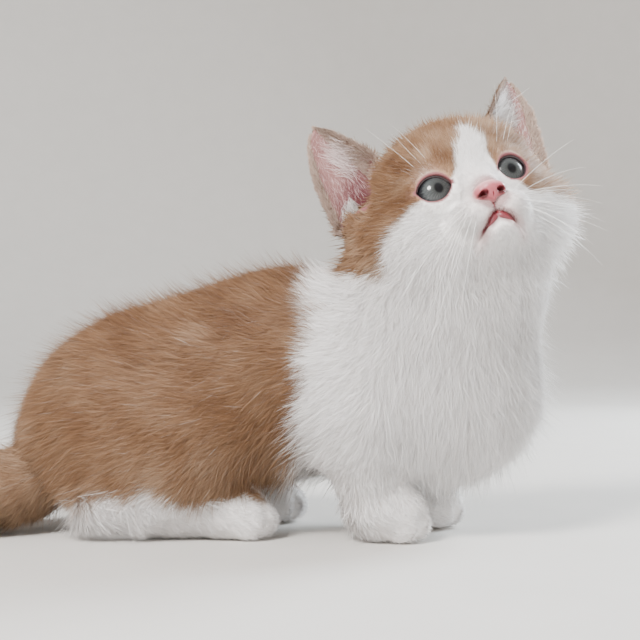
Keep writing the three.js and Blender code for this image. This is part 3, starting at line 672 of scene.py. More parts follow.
def relief(tree, shader, height, strength, depth):
    """Fine relief over a surface, as deep as given in metres."""
    bump = tree.nodes.new("ShaderNodeBump")
    bump.inputs["Strength"].default_value = strength
    bump.inputs["Distance"].default_value = depth
    tree.links.new(height, bump.inputs["Height"])
    tree.links.new(bump.outputs[0], shader.inputs["Normal"])


def fresh_material(name, roughness, specular):
    """A new material with one shader, whose sheen is the same all over."""
    material = bpy.data.materials.new(name)
    material.use_nodes = True
    shader = material.node_tree.nodes["Principled BSDF"]
    shader.inputs["Roughness"].default_value = roughness
    shader.inputs["Specular IOR Level"].default_value = specular
    return material, material.node_tree, shader


def tint(tree, shader, colour):
    """Gives the shader its colour."""
    tree.links.new(colour, shader.inputs["Base Color"])


def let_light_in(shader, weight, reds, depth):
    """Bare skin and gristle: light spreads under the surface, red the farthest."""
    shader.inputs["Subsurface Weight"].default_value = weight
    shader.inputs["Subsurface Radius"].default_value = reds
    shader.inputs["Subsurface Scale"].default_value = depth


GINGER_HAIR = (0.285, 0.158, 0.083)
GINGER_DARK = (0.172, 0.080, 0.037)
GINGER_PALE = (0.46, 0.315, 0.205)
WHITE_HAIR = (0.95, 0.94, 0.935)
# The colour of painted shade deep in the coat, laid over the skin.
WHITE_DEPTH_SHADE = (0.66, 0.60, 0.56)
PINK_SKIN = (0.22, 0.085, 0.090)
BLUSH = (0.74, 0.47, 0.46)


def coat_colour(tree):
    """The coat's colour from its markings: ginger, darker or paler, against white."""
    dark = read(tree, "dark")
    ginger = mixed(tree, dark, GINGER_HAIR, GINGER_DARK)
    ginger = mixed(tree, negated(tree, dark), ginger, GINGER_PALE)
    coat = mixed(tree, read(tree, "ginger"), WHITE_HAIR, ginger)
    return mixed(tree, read(tree, "flush"), coat, BLUSH)


skin_material, skin_tree, skin_shader = fresh_material("kitten_hide", 0.8, 0.2)
# The skin takes the coat's colours, darkened as painted shade deep among the hairs, and pink where it
# is bare.
shaded_undercoat = mixed(skin_tree, 0.35, coat_colour(skin_tree), WHITE_DEPTH_SHADE, "MULTIPLY")
hide_colour = mixed(skin_tree, read(skin_tree, "bare"), shaded_undercoat, PINK_SKIN)
tint(skin_tree, skin_shader, hide_colour)
relief(skin_tree, skin_shader, grain(skin_tree, 900, 3), 0.5, 0.0004)

SEAM_ANGLE = 66  # degrees between faces at which the flat map is cut
skin = mesh_of("kitten_skin", skin_points, skin_faces, skin_material)
skin_ginger, skin_dark = markings(skin_points)
give(skin, "ginger", skin_ginger)
give(skin, "dark", skin_dark)
give(skin, "flush", flush_at(skin_points))
give(skin, "bare", bare_at(skin_points))
bpy.context.view_layer.objects.active = skin
skin.select_set(True)
bpy.ops.object.mode_set(mode="EDIT")
bpy.ops.mesh.select_all(action="SELECT")
bpy.ops.uv.smart_project(angle_limit=math.radians(SEAM_ANGLE), island_margin=0.002)
bpy.ops.object.mode_set(mode="OBJECT")
skin.select_set(False)
skin.data.uv_layers[0].name = "OFBake"
skin_uv = np.empty(len(skin.data.loops) * 2, np.float32)
skin.data.uv_layers[0].data.foreach_get("uv", skin_uv)
skin_uv = skin_uv.reshape(-1, 4, 2)
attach(skin, "root")
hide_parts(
    "torso", "chest", "neck", "head", "jaw",
    "foreleg_right", "foreleg_left", "forepaw_right", "forepaw_left",
    "thigh_right", "thigh_left", "hind_foot_right", "hind_foot_left",
    "tail_root", "tail_middle", "tail_tip",
)

# The ears: two cupped leaves of thin gristle under skin, pink and nearly bare inside, furred
# outside. Each grows from the side of the skull, its open side forward and out.
EAR_TIP = np.array([-2.5, 40.0, 52.0])
EAR_INNER = np.array([0.5, 22.0, 33.0])
EAR_OUTER = np.array([-13.0, 42.0, 13.0])
EAR_CUP = 9.0  # depth of the cup
EAR_BOW = 4.0  # how far the leaf bows forward on its way up
EAR_FOLD = 1.3  # height of the fold inside
EAR_STRAIGHT = 0.68  # 1 gives straight edges, and less gives round ones
EAR_UNEVEN = 0.18  # how much straighter its inner edge is
EAR_POINT = 0.07  # share of its width that it keeps at the tip
EAR_THICK = 1.7  # at its root
EAR_SUNK = 0.25  # share of its height that runs on into the skull
EAR_HEIGHT = 0.955  # share of the way to the drawn tip, which the fringe makes up
EAR_SET_BACK = 0.2  # how far the leaf lies behind the face that ear_point() draws
EAR_ROWS = 34
EAR_COLUMNS = 30
EAR_PINKS = ((0.25, 0.120, 0.115), (0.33, 0.180, 0.165))
EAR_HOLLOW_SHADE = (0.15, 0.046, 0.054)


def ear_point(side, u, v, lift):
    """A point of the leaf in the head's frame, lift millimetres in front of its inner face."""
    flip = np.array([1.0, side, 1.0])
    tip, inner, outer = EAR_TIP * flip, EAR_INNER * flip, EAR_OUTER * flip
    root = (inner + outer) / 2
    across = (outer - inner) / 2
    up = (tip - root) * EAR_HEIGHT
    front = side * unit(np.cross(across, up))
    taper = np.maximum(1 - v, 0) ** (EAR_STRAIGHT - EAR_UNEVEN * u) + EAR_POINT * np.maximum(v, 0)
    taper = taper * (1 + 1.6 * np.minimum(v, 0))
    cup = EAR_CUP * (1 - 0.75 * v - 0.25 * v**6) * (u * u - 1) + EAR_BOW * v * (1 - v)
    fold = EAR_FOLD * swell(u - 0.35, 0.22) * np.clip(1 - v * 1.8, 0, 1)
    at = root + up * v[..., None] + across * (u * taper)[..., None]
    return at + front * (cup + fold + lift)[..., None]


def ear_thickness(u, v):
    """Gristle and skin together, thinner towards the tip and the rim."""
    return EAR_THICK * (1 - 0.45 * np.clip(v, 0, 1)) * (1 - 0.75 * np.abs(u) ** 6)


def ear_map(u, v, back):
    """Where a point of the leaf lies on its own flat pattern, its back beside its front."""
    across = 0.03 + 0.44 * (u + 1) / 2 + 0.5 * back
    return np.stack([across, 0.05 + 0.85 * (v + EAR_SUNK) / (1 + EAR_SUNK)], -1)


ear_material, ear_tree, ear_shader = fresh_material("ear_hide", 0.55, 0.3)
inner_pink = mixed(ear_tree, grain(ear_tree, 160, 3), *EAR_PINKS)
# Painted shade, darker deep in the ear's hollow and along its fold.
inner_pink = mixed(ear_tree, read(ear_tree, "deep"), inner_pink, EAR_HOLLOW_SHADE)
ear_base = mixed(ear_tree, read(ear_tree, "bare"), coat_colour(ear_tree), inner_pink)
tint(ear_tree, ear_shader, ear_base)
let_light_in(ear_shader, 0.25, (1.0, 0.4, 0.3), 0.002)
relief(ear_tree, ear_shader, grain(ear_tree, 420, 4), 0.35, 0.0003)

ear_columns = np.linspace(-1, 1, EAR_COLUMNS)
ear_rows = np.linspace(-EAR_SUNK, 1, EAR_ROWS)
ear_u, ear_v = np.meshgrid(ear_columns, ear_rows, indexing="xy")
for side_name, side in SIDES:
    inner_face = ear_point(side, ear_u, ear_v, np.full(ear_u.shape, -EAR_SET_BACK))
    outer_face = ear_point(side, ear_u, ear_v, -ear_thickness(ear_u, ear_v) - EAR_SET_BACK)
    points = np.concatenate([inner_face.reshape(-1, 3), outer_face.reshape(-1, 3)])
    count = EAR_ROWS * EAR_COLUMNS
    corner = np.arange(count).reshape(EAR_ROWS, EAR_COLUMNS)
    front_quads = np.stack([corner[:-1, :-1], corner[:-1, 1:], corner[1:, 1:], corner[1:, :-1]], -1)
    front_quads = front_quads.reshape(-1, 4)
    rim = np.concatenate([corner[0], corner[1:, -1], corner[-1, -2::-1], corner[-2:0:-1, 0]])
    next_rim = np.roll(rim, -1)
    rim_quads = np.stack([next_rim, rim, rim + count, next_rim + count], -1)
    faces = np.concatenate([front_quads, front_quads[:, ::-1] + count, rim_quads])
    if side < 0:
        faces = faces[:, ::-1]
    ear = mesh_of("ear_leaf_" + side_name, from_head(points), faces, ear_material)
    inside = np.concatenate([np.ones(count), np.zeros(count)])
    both_u = np.tile(ear_u.ravel(), 2)
    both_v = np.tile(ear_v.ravel(), 2)
    # Painted shade inside the ear: darkest deep in the cup near its root, and along the fold.
    deep = swell(both_u - 0.05, 0.6) * eased(0.42, 0.1, both_v)
    fold_shade = swell(both_u - 0.62, 0.1) * eased(0.7, 0.1, both_v)
    give(ear, "bare", inside * eased(1.0, 0.93, np.abs(both_u)))
    give(ear, "deep", np.clip(inside * (deep + 0.35 * fold_shade), 0, 1))
    pale_rim = eased(0.96 - 0.06 * inside, 1.0 - 0.03 * inside, np.abs(both_u))
    give(ear, "ginger", 0.9 - 0.4 * pale_rim)
    give(ear, "dark", -0.1 - 0.7 * pale_rim)
    lay_flat(ear, ear_map(both_u, both_v, 1 - inside))
    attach(ear, "root")
    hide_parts("ear_" + side_name)

# The eyes: a round globe behind each pair of lids, with a grey-blue iris, a narrow upright
# pupil and a clear wet surface. The lids close round it with a dark moist rim.
IRIS = 6.6  # radius
PUPIL = (1.4, 1.7)  # half its width and half its height
CORNEA = {"height": 0.45, "radius": 5.6}
# The way each eye looks, by its side.
GAZE = {-1: np.array([8.3, -0.1, -0.5]), 1: np.array([8.3, 1.1, -0.6])}
EYE_RINGS = 90
EYE_SPOKES = 180
# Pale fibres round the iris, and its colours from the pupil out to its dark edge.
FIBRE_WAVES = (23, 37, 61, 89, 131)
IRIS_COLOURS = (
    (0.0, (0.020, 0.021, 0.019)),
    (0.35, (0.028, 0.030, 0.029)),
    (0.7, (0.048, 0.053, 0.054)),
    (0.86, (0.011, 0.012, 0.014)),
    (1.0, (0.008, 0.008, 0.010)),
)
IRIS_FIBRE = (0.12, 0.130, 0.130)
PUPIL_BLACK = (0.004, 0.004, 0.005)
EYE_WHITE = (0.08, 0.05, 0.05)


def ring_strip(rows, columns):
    """Quads between rows of points that each close on themselves."""
    corner = np.arange(rows * columns).reshape(rows, columns)
    beside = np.roll(corner, -1, axis=1)
    return np.stack([corner[:-1], beside[:-1], beside[1:], corner[1:]], -1).reshape(-1, 4)


def tube(centre, radius, sides, closed=False):
    """A thin round strand along points, thick as given at each."""
    ahead = np.roll(centre, -1, 0) - np.roll(centre, 1, 0)
    if not closed:
        ahead[0] = centre[1] - centre[0]
        ahead[-1] = centre[-1] - centre[-2]
    ahead = unit(ahead)
    side = unit(np.cross(ahead, (0.31, 0.22, 0.92)))
    over = np.cross(side, ahead)
    angle = np.linspace(0, math.tau, sides, endpoint=False)[None, :, None]
    ring = np.cos(angle) * side[:, None] + np.sin(angle) * over[:, None]
    points = centre[:, None] + ring * np.asarray(radius)[:, None, None]
    faces = ring_strip(len(centre), sides)
    if closed:
        last = np.arange(sides) + (len(centre) - 1) * sides
        first = np.arange(sides)
        join = np.stack([last, np.roll(last, -1), np.roll(first, -1), first], -1)
        faces = np.concatenate([faces, join])
    return points.reshape(-1, 3), faces


eye_material, eye_tree, eye_shader = fresh_material("wet_eye", 0.3, 0.08)
eye_shader.inputs["Coat Weight"].default_value = 1.0
eye_shader.inputs["Coat Roughness"].default_value = 0.015
eye_shader.inputs["Coat IOR"].default_value = 1.34
iris_ramp = eye_tree.nodes.new("ShaderNodeValToRGB")
for share, _ in IRIS_COLOURS[1:-1]:
    iris_ramp.color_ramp.elements.new(share)
for stop, (share, colour) in zip(iris_ramp.color_ramp.elements, IRIS_COLOURS):
    stop.position = share
    stop.color = (*colour, 1)
eye_tree.links.new(read(eye_tree, "iris"), iris_ramp.inputs[0])
streaks = mixed(eye_tree, read(eye_tree, "fibre"), iris_ramp.outputs[0], IRIS_FIBRE)
with_pupil = mixed(eye_tree, read(eye_tree, "pupil"), streaks, PUPIL_BLACK)
tint(eye_tree, eye_shader, mixed(eye_tree, read(eye_tree, "white"), with_pupil, EYE_WHITE))


def mottled_material(name, roughness, specular, scale, detail, colours):
    """A material of two colours that mingle in fine grains, and its shader."""
    material, tree, shader = fresh_material(name, roughness, specular)
    tint(tree, shader, mixed(tree, grain(tree, scale, detail), *colours))
    return material, shader


RIM_COLOURS = ((0.014, 0.008, 0.010), (0.045, 0.020, 0.022))
rim_material, _ = mottled_material("lid_rim", 0.28, 0.6, 700, 2, RIM_COLOURS)

for side_name, side in SIDES:
    middle = eye_at(side)
    gaze = unit(GAZE[side])
    aside = unit(np.cross((0.0, 0.0, 1.0), gaze))
    over = np.cross(gaze, aside)
    polar = np.linspace(0.004, math.pi, EYE_RINGS) ** 1.25 / math.pi**0.25
    turn = np.linspace(0, math.tau, EYE_SPOKES, endpoint=False)
    fall, spoke = np.meshgrid(polar, turn, indexing="ij")
    out = EYEBALL * np.sin(fall)
    in_front = fall < 1.4
    bulge = CORNEA["height"] * np.exp(-((out / CORNEA["radius"]) ** 4)) * in_front
    reach = EYEBALL - 0.15 + bulge
    round_gaze = np.cos(spoke)[..., None] * aside + np.sin(spoke)[..., None] * over
    ball = np.cos(fall)[..., None] * gaze + np.sin(fall)[..., None] * round_gaze
    ball = from_head((middle + reach[..., None] * ball).reshape(-1, 3))
    ball_faces = ring_strip(EYE_RINGS, EYE_SPOKES)[:, ::-1]
    globe = mesh_of("eyeball_" + side_name, ball, ball_faces, eye_material)
    across = out * np.cos(spoke)
    upward = out * np.sin(spoke)
    draw = np.random.default_rng(40 + side)
    fibre = np.zeros_like(spoke)
    for waves in FIBRE_WAVES:
        shift = draw.uniform(0, math.tau)
        waver = 2.2 * np.sin(out * draw.uniform(0.8, 2.0) + shift)
        fibre += np.sin(spoke * waves + shift + waver) / len(FIBRE_WAVES)
    # Painted shadow of the upper lid: the iris runs darker towards its top, and its pale fibres fade
    # out there.
    iris_share = np.clip(out / IRIS + 0.13 * eased(0.5, 5.0, upward), 0, 1)
    fibre = np.clip(0.15 + fibre * 1.5, 0, 1) * 0.6 * eased(5.5, -2.0, upward)
    fibre = fibre * eased(0.18, 0.4, iris_share) * eased(0.97, 0.8, iris_share)
    pupil = eased(1.3, 0.8, np.hypot(across / PUPIL[0], upward / PUPIL[1])) * in_front
    give(globe, "iris", iris_share)
    give(globe, "fibre", fibre)
    give(globe, "pupil", pupil)
    give(globe, "white", np.where(fall < 1.45, eased(IRIS, IRIS + 0.5, out), 1.0))
    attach(globe, "root")
    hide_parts("eye_" + side_name)
    turn = np.linspace(0, math.tau, 96, endpoint=False)
    rim_across = SLIT["half"] * np.cos(turn)
    upper, lower = lid_edge(rim_across)
    duct = swell(rim_across * side + SLIT["half"], 0.8)
    rim_up = np.where(np.sin(turn) > 0, upper, lower) - 0.45 * duct
    rim_across = rim_across - 1.1 * side * duct
    rim_out = np.sqrt(np.maximum((EYEBALL + 0.5) ** 2 - rim_across**2 - rim_up**2, 4))
    rim_line = middle + np.stack([rim_out, rim_across, rim_up], -1) @ eye_frame(side).T
    inner = swell(rim_across * side + SLIT["half"], 1.6)
    rim_thick = 0.46 + 0.2 * np.maximum(np.sin(turn), 0) + 0.2 * inner
    rim_points, rim_faces = tube(rim_line, rim_thick, 10, closed=True)
    lid_rim = mesh_of("lid_rim_" + side_name, from_head(rim_points), rim_faces, rim_material)
    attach(lid_rim, "root")

# The nose leather: a bare, finely pebbled pad over the tip of the muzzle, moist and salmon
# pink, with a comma-shaped nostril on each side. It grows out of the skin of the muzzle.
NOSE = {"top": -3.3, "wing": 5.3, "wing_at": -6.5, "bottom": -9.8}
NOSE_STEPS = [[(25.5, 37, 0.25)], [(-7, 7, 0.25)], [(-13.2, -1, 0.25)]]
LEATHER_COLOURS = ((0.34, 0.066, 0.086), (0.45, 0.125, 0.145))
NOSTRIL_SHADE = (0.075, 0.006, 0.008)
LEATHER_EDGE = (0.68, 0.36, 0.36)


def nose_outline(head_points):
    """Distance outside the drawn outline of the pad, seen from ahead."""
    _, y, z = np.moveaxis(head_points, -1, 0)
    away = np.abs(y)
    upper = NOSE["top"] - 2.4 * (away / NOSE["wing"]) ** 2.2
    share = np.clip(away / NOSE["wing"], 0, 1)
    lower = NOSE["bottom"] + (NOSE["wing_at"] - NOSE["bottom"] - 1.3) * eased(0.1, 0.75, share)
    return np.maximum(np.maximum(z - upper, lower - z), away - NOSE["wing"])


def nose_pad(head_points):
    """Distance from the pad's surface, with its nostrils and the cleft below them."""
    x, y, z = np.moveaxis(head_points, -1, 0)
    tip = lobe((30.9, 0, -6.1), (4.6, 5.1, 3.3), 1)[0](head_points)
    wings = np.minimum(*[
        lobe((30.6, side * 3.5, -6.9), (3.9, 2.2, 2.3), 1)[0](head_points) for _, side in SIDES
    ])
    foot = lobe((31.4, 0, -8.5), (2.6, 1.3, 2.0), 1)[0](head_points)
    pad = smooth_min(smooth_min(tip, wings, 1.4), foot, 1.6)
    for _, side in SIDES:
        hole = lobe((34.3, side * 2.8, -7.6), (2.6, 1.25, 0.8), 1, 24 * side)[0](head_points)
        curl = lobe((33.0, side * 4.8, -7.9), (2.6, 1.3, 0.42), 1, 40 * side)[0](head_points)
        pad = -smooth_min(-pad, smooth_min(hole, curl, 0.9), 0.35)
    cleft = np.maximum(np.maximum(np.abs(y) - 0.12, z + 8.2), 33.3 - x)
    return -smooth_min(-pad, cleft, 0.4)


nose_axes = [graded(stretches) for stretches in NOSE_STEPS]
nose_grid = np.stack(np.meshgrid(*nose_axes, indexing="ij"), -1)
nose_points, nose_faces = surface_in(nose_pad(nose_grid), nose_axes)
nose_material, nose_tree, nose_shader = fresh_material("nose_leather", 0.36, 0.5)
leather = mixed(nose_tree, grain(nose_tree, 500, 3), *LEATHER_COLOURS)
# Painted shade in the nostrils.
leather = mixed(nose_tree, read(nose_tree, "deep"), leather, NOSTRIL_SHADE)
leather = mixed(nose_tree, read(nose_tree, "edge"), leather, LEATHER_EDGE)
tint(nose_tree, nose_shader, leather)
let_light_in(nose_shader, 0.2, (1.0, 0.35, 0.25), 0.001)
pebbles = nose_tree.nodes.new("ShaderNodeTexVoronoi")
pebbles.inputs["Scale"].default_value = 2200
place = nose_tree.nodes.new("ShaderNodeTexCoord")
nose_tree.links.new(place.outputs["Object"], pebbles.inputs["Vector"])
relief(nose_tree, nose_shader, pebbles.outputs["Distance"], 0.4, 0.00015)
nose = mesh_of("nose_pad", from_head(nose_points), nose_faces, nose_material)
# Painted shade inside each nostril, darkest in its middle.
nostril_shade = np.zeros(len(nose_points))
for _, side in SIDES:
    hole = (nose_points - np.array([33.0, side * 3.1, -7.9])) / np.array([2.4, 1.7, 1.1])
    nostril_shade = np.maximum(nostril_shade, eased(1.3, 0.85, np.linalg.norm(hole, axis=1)))
give(nose, "deep", nostril_shade)
nose_edge = np.maximum(eased(33.0, 30.6, nose_points[:, 0]), eased(-6.6, -3.6, nose_points[:, 2]))
give(nose, "edge", nose_edge * (1 - nostril_shade))
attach(nose, "root")
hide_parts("nose")

# The lips: moist skin along the mouth's line, dark red where the two lips meet and pink on
# the lower one. They are the bare edges of the muzzle's own skin.
LIP_COLOURS = ((0.14, 0.022, 0.030), (0.22, 0.045, 0.055))
LINE_COLOURS = ((0.13, 0.012, 0.016), (0.24, 0.032, 0.038))
LIP_STEPS = 49
CLEFT_STEPS = 12
lip_material, lip_shader = mottled_material("lip_skin", 0.38, 0.5, 600, 2, LIP_COLOURS)
let_light_in(lip_shader, 0.15, (1.0, 0.35, 0.25), 0.001)
line_material, _ = mottled_material("mouth_line", 0.35, 0.5, 600, 2, LINE_COLOURS)


def muzzle_front(y, z):
    """How far ahead the skin of the muzzle lies at each height and width."""
    x = np.full(len(y), 40.0)
    for _ in range(60):
        x = x - np.clip(flesh(from_head(np.stack([x, y, z], -1))) * 0.6, -1, 1)
    return x


lip_across = np.linspace(-6.4, 7.4, LIP_STEPS)
lip_up = lip_height(lip_across)
lip_ahead = muzzle_front(lip_across, lip_up)
ends = np.clip(1.08 - (np.abs(lip_across - 0.5) / 7.0) ** 3, 0.08, 1)
parted = swell(lip_across, 2.6)
mouth_line = np.stack([lip_ahead + 0.35, lip_across, lip_up], -1)
cleft_up = np.linspace(NOSE["bottom"] + 0.6, LIP["apex"], CLEFT_STEPS)
cleft_middle = np.zeros(CLEFT_STEPS)
cleft_ahead = muzzle_front(cleft_middle, cleft_up)
cleft_line = np.stack([cleft_ahead + 0.12, cleft_middle, cleft_up], -1)
for name, material, line, shift, thick in (
    ("mouth_line", line_material, mouth_line, (0.05, 0.0, -0.1), ends * (0.18 + 0.52 * parted)),
    ("lower_lip", lip_material, mouth_line, (-0.1, 0.0, -1.2), ends * (0.6 + 0.75 * parted)),
    ("upper_lip", lip_material, mouth_line, (0.05, 0.0, 0.5), ends * 0.4),
    ("lip_cleft", lip_material, cleft_line, (0.0, 0.0, 0.0), cleft_middle + 0.32),
):
    lip_points, lip_faces = tube(line + np.array(shift), thick, 10)
    lip = mesh_of(name, from_head(lip_points), lip_faces, material)
    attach(lip, "root")

# The coat: soft plush hair over the whole skin, short on face and feet, longer on the back,
# chest, cheeks and tail. It grows from the skin in fine tufts that lie along the body.
HAIR_STATIONS = {1: (0.0, 1.0), 3: (0.0, 0.45, 1.0)}  # by the triangles in each tuft
HAIR_WIDTHS = {1: (1.0, 0.0), 3: (0.85, 1.0, 0.0)}
HAIR_AHEAD = 0.93  # shares of its length that a tuft runs along the skin and stands off it
HAIR_OFF = 0.66
HAIR_SUNK = 0.6  # how deep its root lies
GUARD_STAND = (34, 66)  # degrees over the skin, of the long guard hairs and of stray ones
STRAY_STAND = (18, 36)
STRAYS = 0.12  # share of the tufts
FLOOR_GAP = 0.15  # between the lowest hair and the floor
BAKE_PATCH = 0.003  # size of one tuft on the skin's flat map
# Painted shade deep in the coat: each tuft runs from these colours at its root to its full colour at
# its tip.
WHITE_ROOT_SHADE = (0.74, 0.70, 0.68)
GINGER_ROOT_SHADE = (0.54, 0.46, 0.41)
THROUGH_LIGHT = 0.3  # share of the light that a tuft lets through
fur_material, fur_tree, fur_shader = fresh_material("plush_coat", 0.6, 0.22)
# The coat's painted shade, darker towards each root, multiplied over its colour.
root_shade = mixed(fur_tree, read(fur_tree, "ginger"), WHITE_ROOT_SHADE, GINGER_ROOT_SHADE)
depth = mixed(fur_tree, read(fur_tree, "light"), root_shade, (1.0, 1.0, 1.0))
fur_colour = mixed(fur_tree, 1.0, coat_colour(fur_tree), depth, "MULTIPLY")
tint(fur_tree, fur_shader, fur_colour)
through = fur_tree.nodes.new("ShaderNodeBsdfTranslucent")
fur_tree.links.new(fur_colour, through.inputs["Color"])
blend = fur_tree.nodes.new("ShaderNodeMixShader")
blend.inputs[0].default_value = THROUGH_LIGHT
fur_tree.links.new(fur_shader.outputs[0], blend.inputs[1])
fur_tree.links.new(through.outputs[0], blend.inputs[2])
fur_tree.links.new(blend.outputs[0], fur_tree.nodes["Material Output"].inputs["Surface"])


def lean(lie, share, way):
    """Turns some of the hair another way."""
    return lie * (1 - share[:, None]) + np.asarray(way) * share[:, None]


def lie_of(points):
    """The way that the hair lies at each point, before it is laid along the skin."""
    x, y, z = points.T
    own = into_head(points)
    lie = np.tile(np.array([-1.0, 0.0, -0.28]), (len(points), 1))
    lie = lean(lie, eased(78, 34, z), (-0.9, 0, -0.45))
    lie = lean(lie, eased(-62, -96, x) * 0.7, (-0.55, 0, -0.85))
    lie = lean(lie, eased(2, 34, x), (-0.12, 0, -1))
    lie[:, 1] += eased(20, 40, x) * 0.012 * (y + 2)
    lie[:, 0] += eased(48, 72, x) * 0.3
    for foot_x, foot_y in FORE_FOOT.values():
        near = eased(24, 15, np.hypot(x - foot_x - 3, y - foot_y))
        lie = lean(lie, near * eased(34, 22, z), (0.12, 0, -1))
        lie = lean(lie, near * eased(15, 8, z), (1, 0, -0.3))
    for side_name, _ in SIDES:
        heel = np.array(HIND_HEEL[side_name])
        toe = np.array(HIND_TOE[side_name])
        foot_line = np.array([[*heel, 8.0], [*toe, 8.0], [toe[0] + 14, toe[1], 8.0]])
        ahead = unit(foot_line[1] - foot_line[0]) + np.array([0, 0, -0.25])
        lie = lean(lie, eased(17, 11, away_from_line(points, foot_line)) * eased(21, 14, z), ahead)
    steps = along_tail(60)
    nearest = np.concatenate([
        np.linalg.norm(part[:, None] - steps[None, :, :3], axis=-1).argmin(1)
        for part in np.array_split(points, len(points) // 30000 + 1)
    ])
    tangents = unit(np.gradient(steps[:, :3], axis=0))
    beyond_tail = np.linalg.norm(points - steps[nearest, :3], axis=1) - steps[nearest, 3]
    on_tail = eased(-88, -102, x) * eased(8, 2, beyond_tail)
    lie = lie * (1 - on_tail[:, None]) + tangents[nearest] * on_tail[:, None]
    above = (points - HEAD_CUT_AT) @ HEAD_CUT_UP
    from_nose = unit(own - np.array([34.0, 0.0, -5.0]))
    from_nose[:, 2] -= 0.35 * eased(4, -14, own[:, 2])
    from_nose[:, 0] -= 0.3 * eased(20, 36, np.abs(own[:, 1]))
    from_nose = lean(from_nose, eased(-18, -30, own[:, 2]) * 0.6, (-0.5, 0, -1.0))
    for _, side in SIDES:
        from_eye = own - (eye_at(side) + (6, 0, 0))
        near = eased(13.0, 7.0, np.linalg.norm(from_eye, axis=1))
        from_nose = from_nose + unit(from_eye) * (1.6 * near)[:, None]
    on_head = eased(-2, 6, above)[:, None]
    return lie * (1 - on_head) + facing(from_nose) * on_head


def hashed(cells, seed):
    """Three steady numbers from 0 to 1 for each cell of a lattice."""
    keys = cells @ np.array([127.1, 311.7, 74.7]) + seed
    return np.stack([np.mod(np.sin(keys + shift) * 43758.5453, 1.0) for shift in (0.0, 17.3, 41.9)], -1)


def to_nearest_clump(tips, size, seed):
    """From each hair's tip to the middle of the clump that it hangs together with."""
    base = np.floor(tips / size)
    best = np.full(len(tips), FAR)
    target = tips.copy()
    for i in (-1, 0, 1):
        for j in (-1, 0, 1):
            for k in (-1, 0, 1):
                cell = base + (i, j, k)
                middle = (cell + hashed(cell, seed)) * size
                away = ((middle - tips) ** 2).sum(-1)
                closer = away < best
                best = np.where(closer, away, best)
                target = np.where(closer[:, None], middle, target)
    return target - tips


def tufted(name, roots, normals, lie, uv, values, triangles_each, seed, gather=0.3, clump=2.4):
    """One piece of the coat: values are each tuft's length, width, rise and colours."""
    draw = np.random.default_rng(seed)
    count = len(roots)
    lie = unit(lie - (lie * normals).sum(-1, keepdims=True) * normals)
    side = np.cross(normals, lie)
    swing = draw.normal(0, 0.24, count) + 0.22 * rippled(roots, 15.0, 31)
    lie = unit(lie + side * swing[:, None])
    side = np.cross(normals, lie)
    chance = draw.uniform(0, 1, count)
    guard = chance < values["guard"]
    stray = chance < values["guard"] + STRAYS
    stand = np.where(guard, draw.uniform(*GUARD_STAND, count), draw.uniform(*STRAY_STAND, count))
    stand = np.maximum(1.41 * np.tan(np.radians(stand)), values["rise"])
    rise = np.where(stray, stand, values["rise"] + draw.normal(0, 0.09, count))
    length = values["length"] * draw.uniform(0.68, 1.2, count) / np.hypot(HAIR_AHEAD, HAIR_OFF * rise)
    length *= np.where(guard, draw.uniform(1.0, 1.45, count), 1.0)
    width = values["width"] * draw.uniform(0.7, 1.25, count)
    width *= np.where(guard, 1.15, np.where(stray, 0.8, 1.0))
    roll = draw.normal(0, 0.5, count)
    bend = draw.normal(0, 0.12, count)
    flat = side * np.cos(roll)[:, None] + normals * np.sin(roll)[:, None]
    reach = lie * HAIR_AHEAD + normals * (rise * HAIR_OFF)[:, None] + side * bend[:, None]
    tip = roots + length[:, None] * reach
    pull = to_nearest_clump(tip, clump, seed % 7) * gather * np.where(guard, 1.2, 1.0)[:, None]
    pull -= (pull * normals).sum(-1, keepdims=True) * normals * 0.7
    stations = HAIR_STATIONS[triangles_each]
    rows = []
    light = []
    patch = []
    tone = draw.uniform(-0.22, 0.46, count)
    for t, share in zip(stations, HAIR_WIDTHS[triangles_each]):
        along = lie * (t * (1 - 0.07 * t)) + normals * (rise * t * (1 - 0.34 * t))[:, None]
        along = along + side * (bend * t * t)[:, None]
        centre = roots - normals * (HAIR_SUNK * (1 - t)) + length[:, None] * along + pull * (t * t)
        half = flat * (width * share * 0.5)[:, None]
        rows += [centre - half, centre + half] if share else [centre]
        # Painted shade along the tuft: darkest at the root, full at the tip, shifted by a random tone
        # for each tuft.
        light += [0.12 + 0.62 * t + tone] * (2 if share else 1)
        patch += [(-0.5, t), (0.5, t)] if share else [(0.0, t)]
    points = np.stack(rows, 1)
    points[..., 2] = np.maximum(points[..., 2], FLOOR_GAP)
    per = points.shape[1]
    pattern = []
    for row in range(len(stations) - 2):
        a = row * 2
        pattern += [(a, a + 2, a + 1), (a + 1, a + 2, a + 3)]
    pattern.append((per - 3, per - 1, per - 2))
    faces = (np.array(pattern)[None] + np.arange(count)[:, None, None] * per).reshape(-1, 3)
    piece = mesh_of(name, points.reshape(-1, 3), faces, fur_material)
    give(piece, "light", np.stack(light, 1))
    give(piece, "ginger", np.repeat(values["ginger"], per))
    give(piece, "dark", np.repeat(values["dark"] + draw.normal(0, 0.16, count), per))
    give(piece, "flush", np.repeat(values["flush"], per))
    over = np.cross(lie, flat)
    over = over * np.where((over * normals).sum(-1, keepdims=True) < 0, -1.0, 1.0)
    shade = unit(normals * 0.7 + lie * 0.1 + over * 0.36 + draw.normal(0, 0.16, (count, 3)))
    give(piece, "custom_normal", np.repeat(shade, per, axis=0), "FLOAT_VECTOR")
    spots = uv[:, None] + np.array(patch)[None] * BAKE_PATCH
    lay_flat(piece, spots.reshape(-1, 2))
    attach(piece, "root")
    return piece


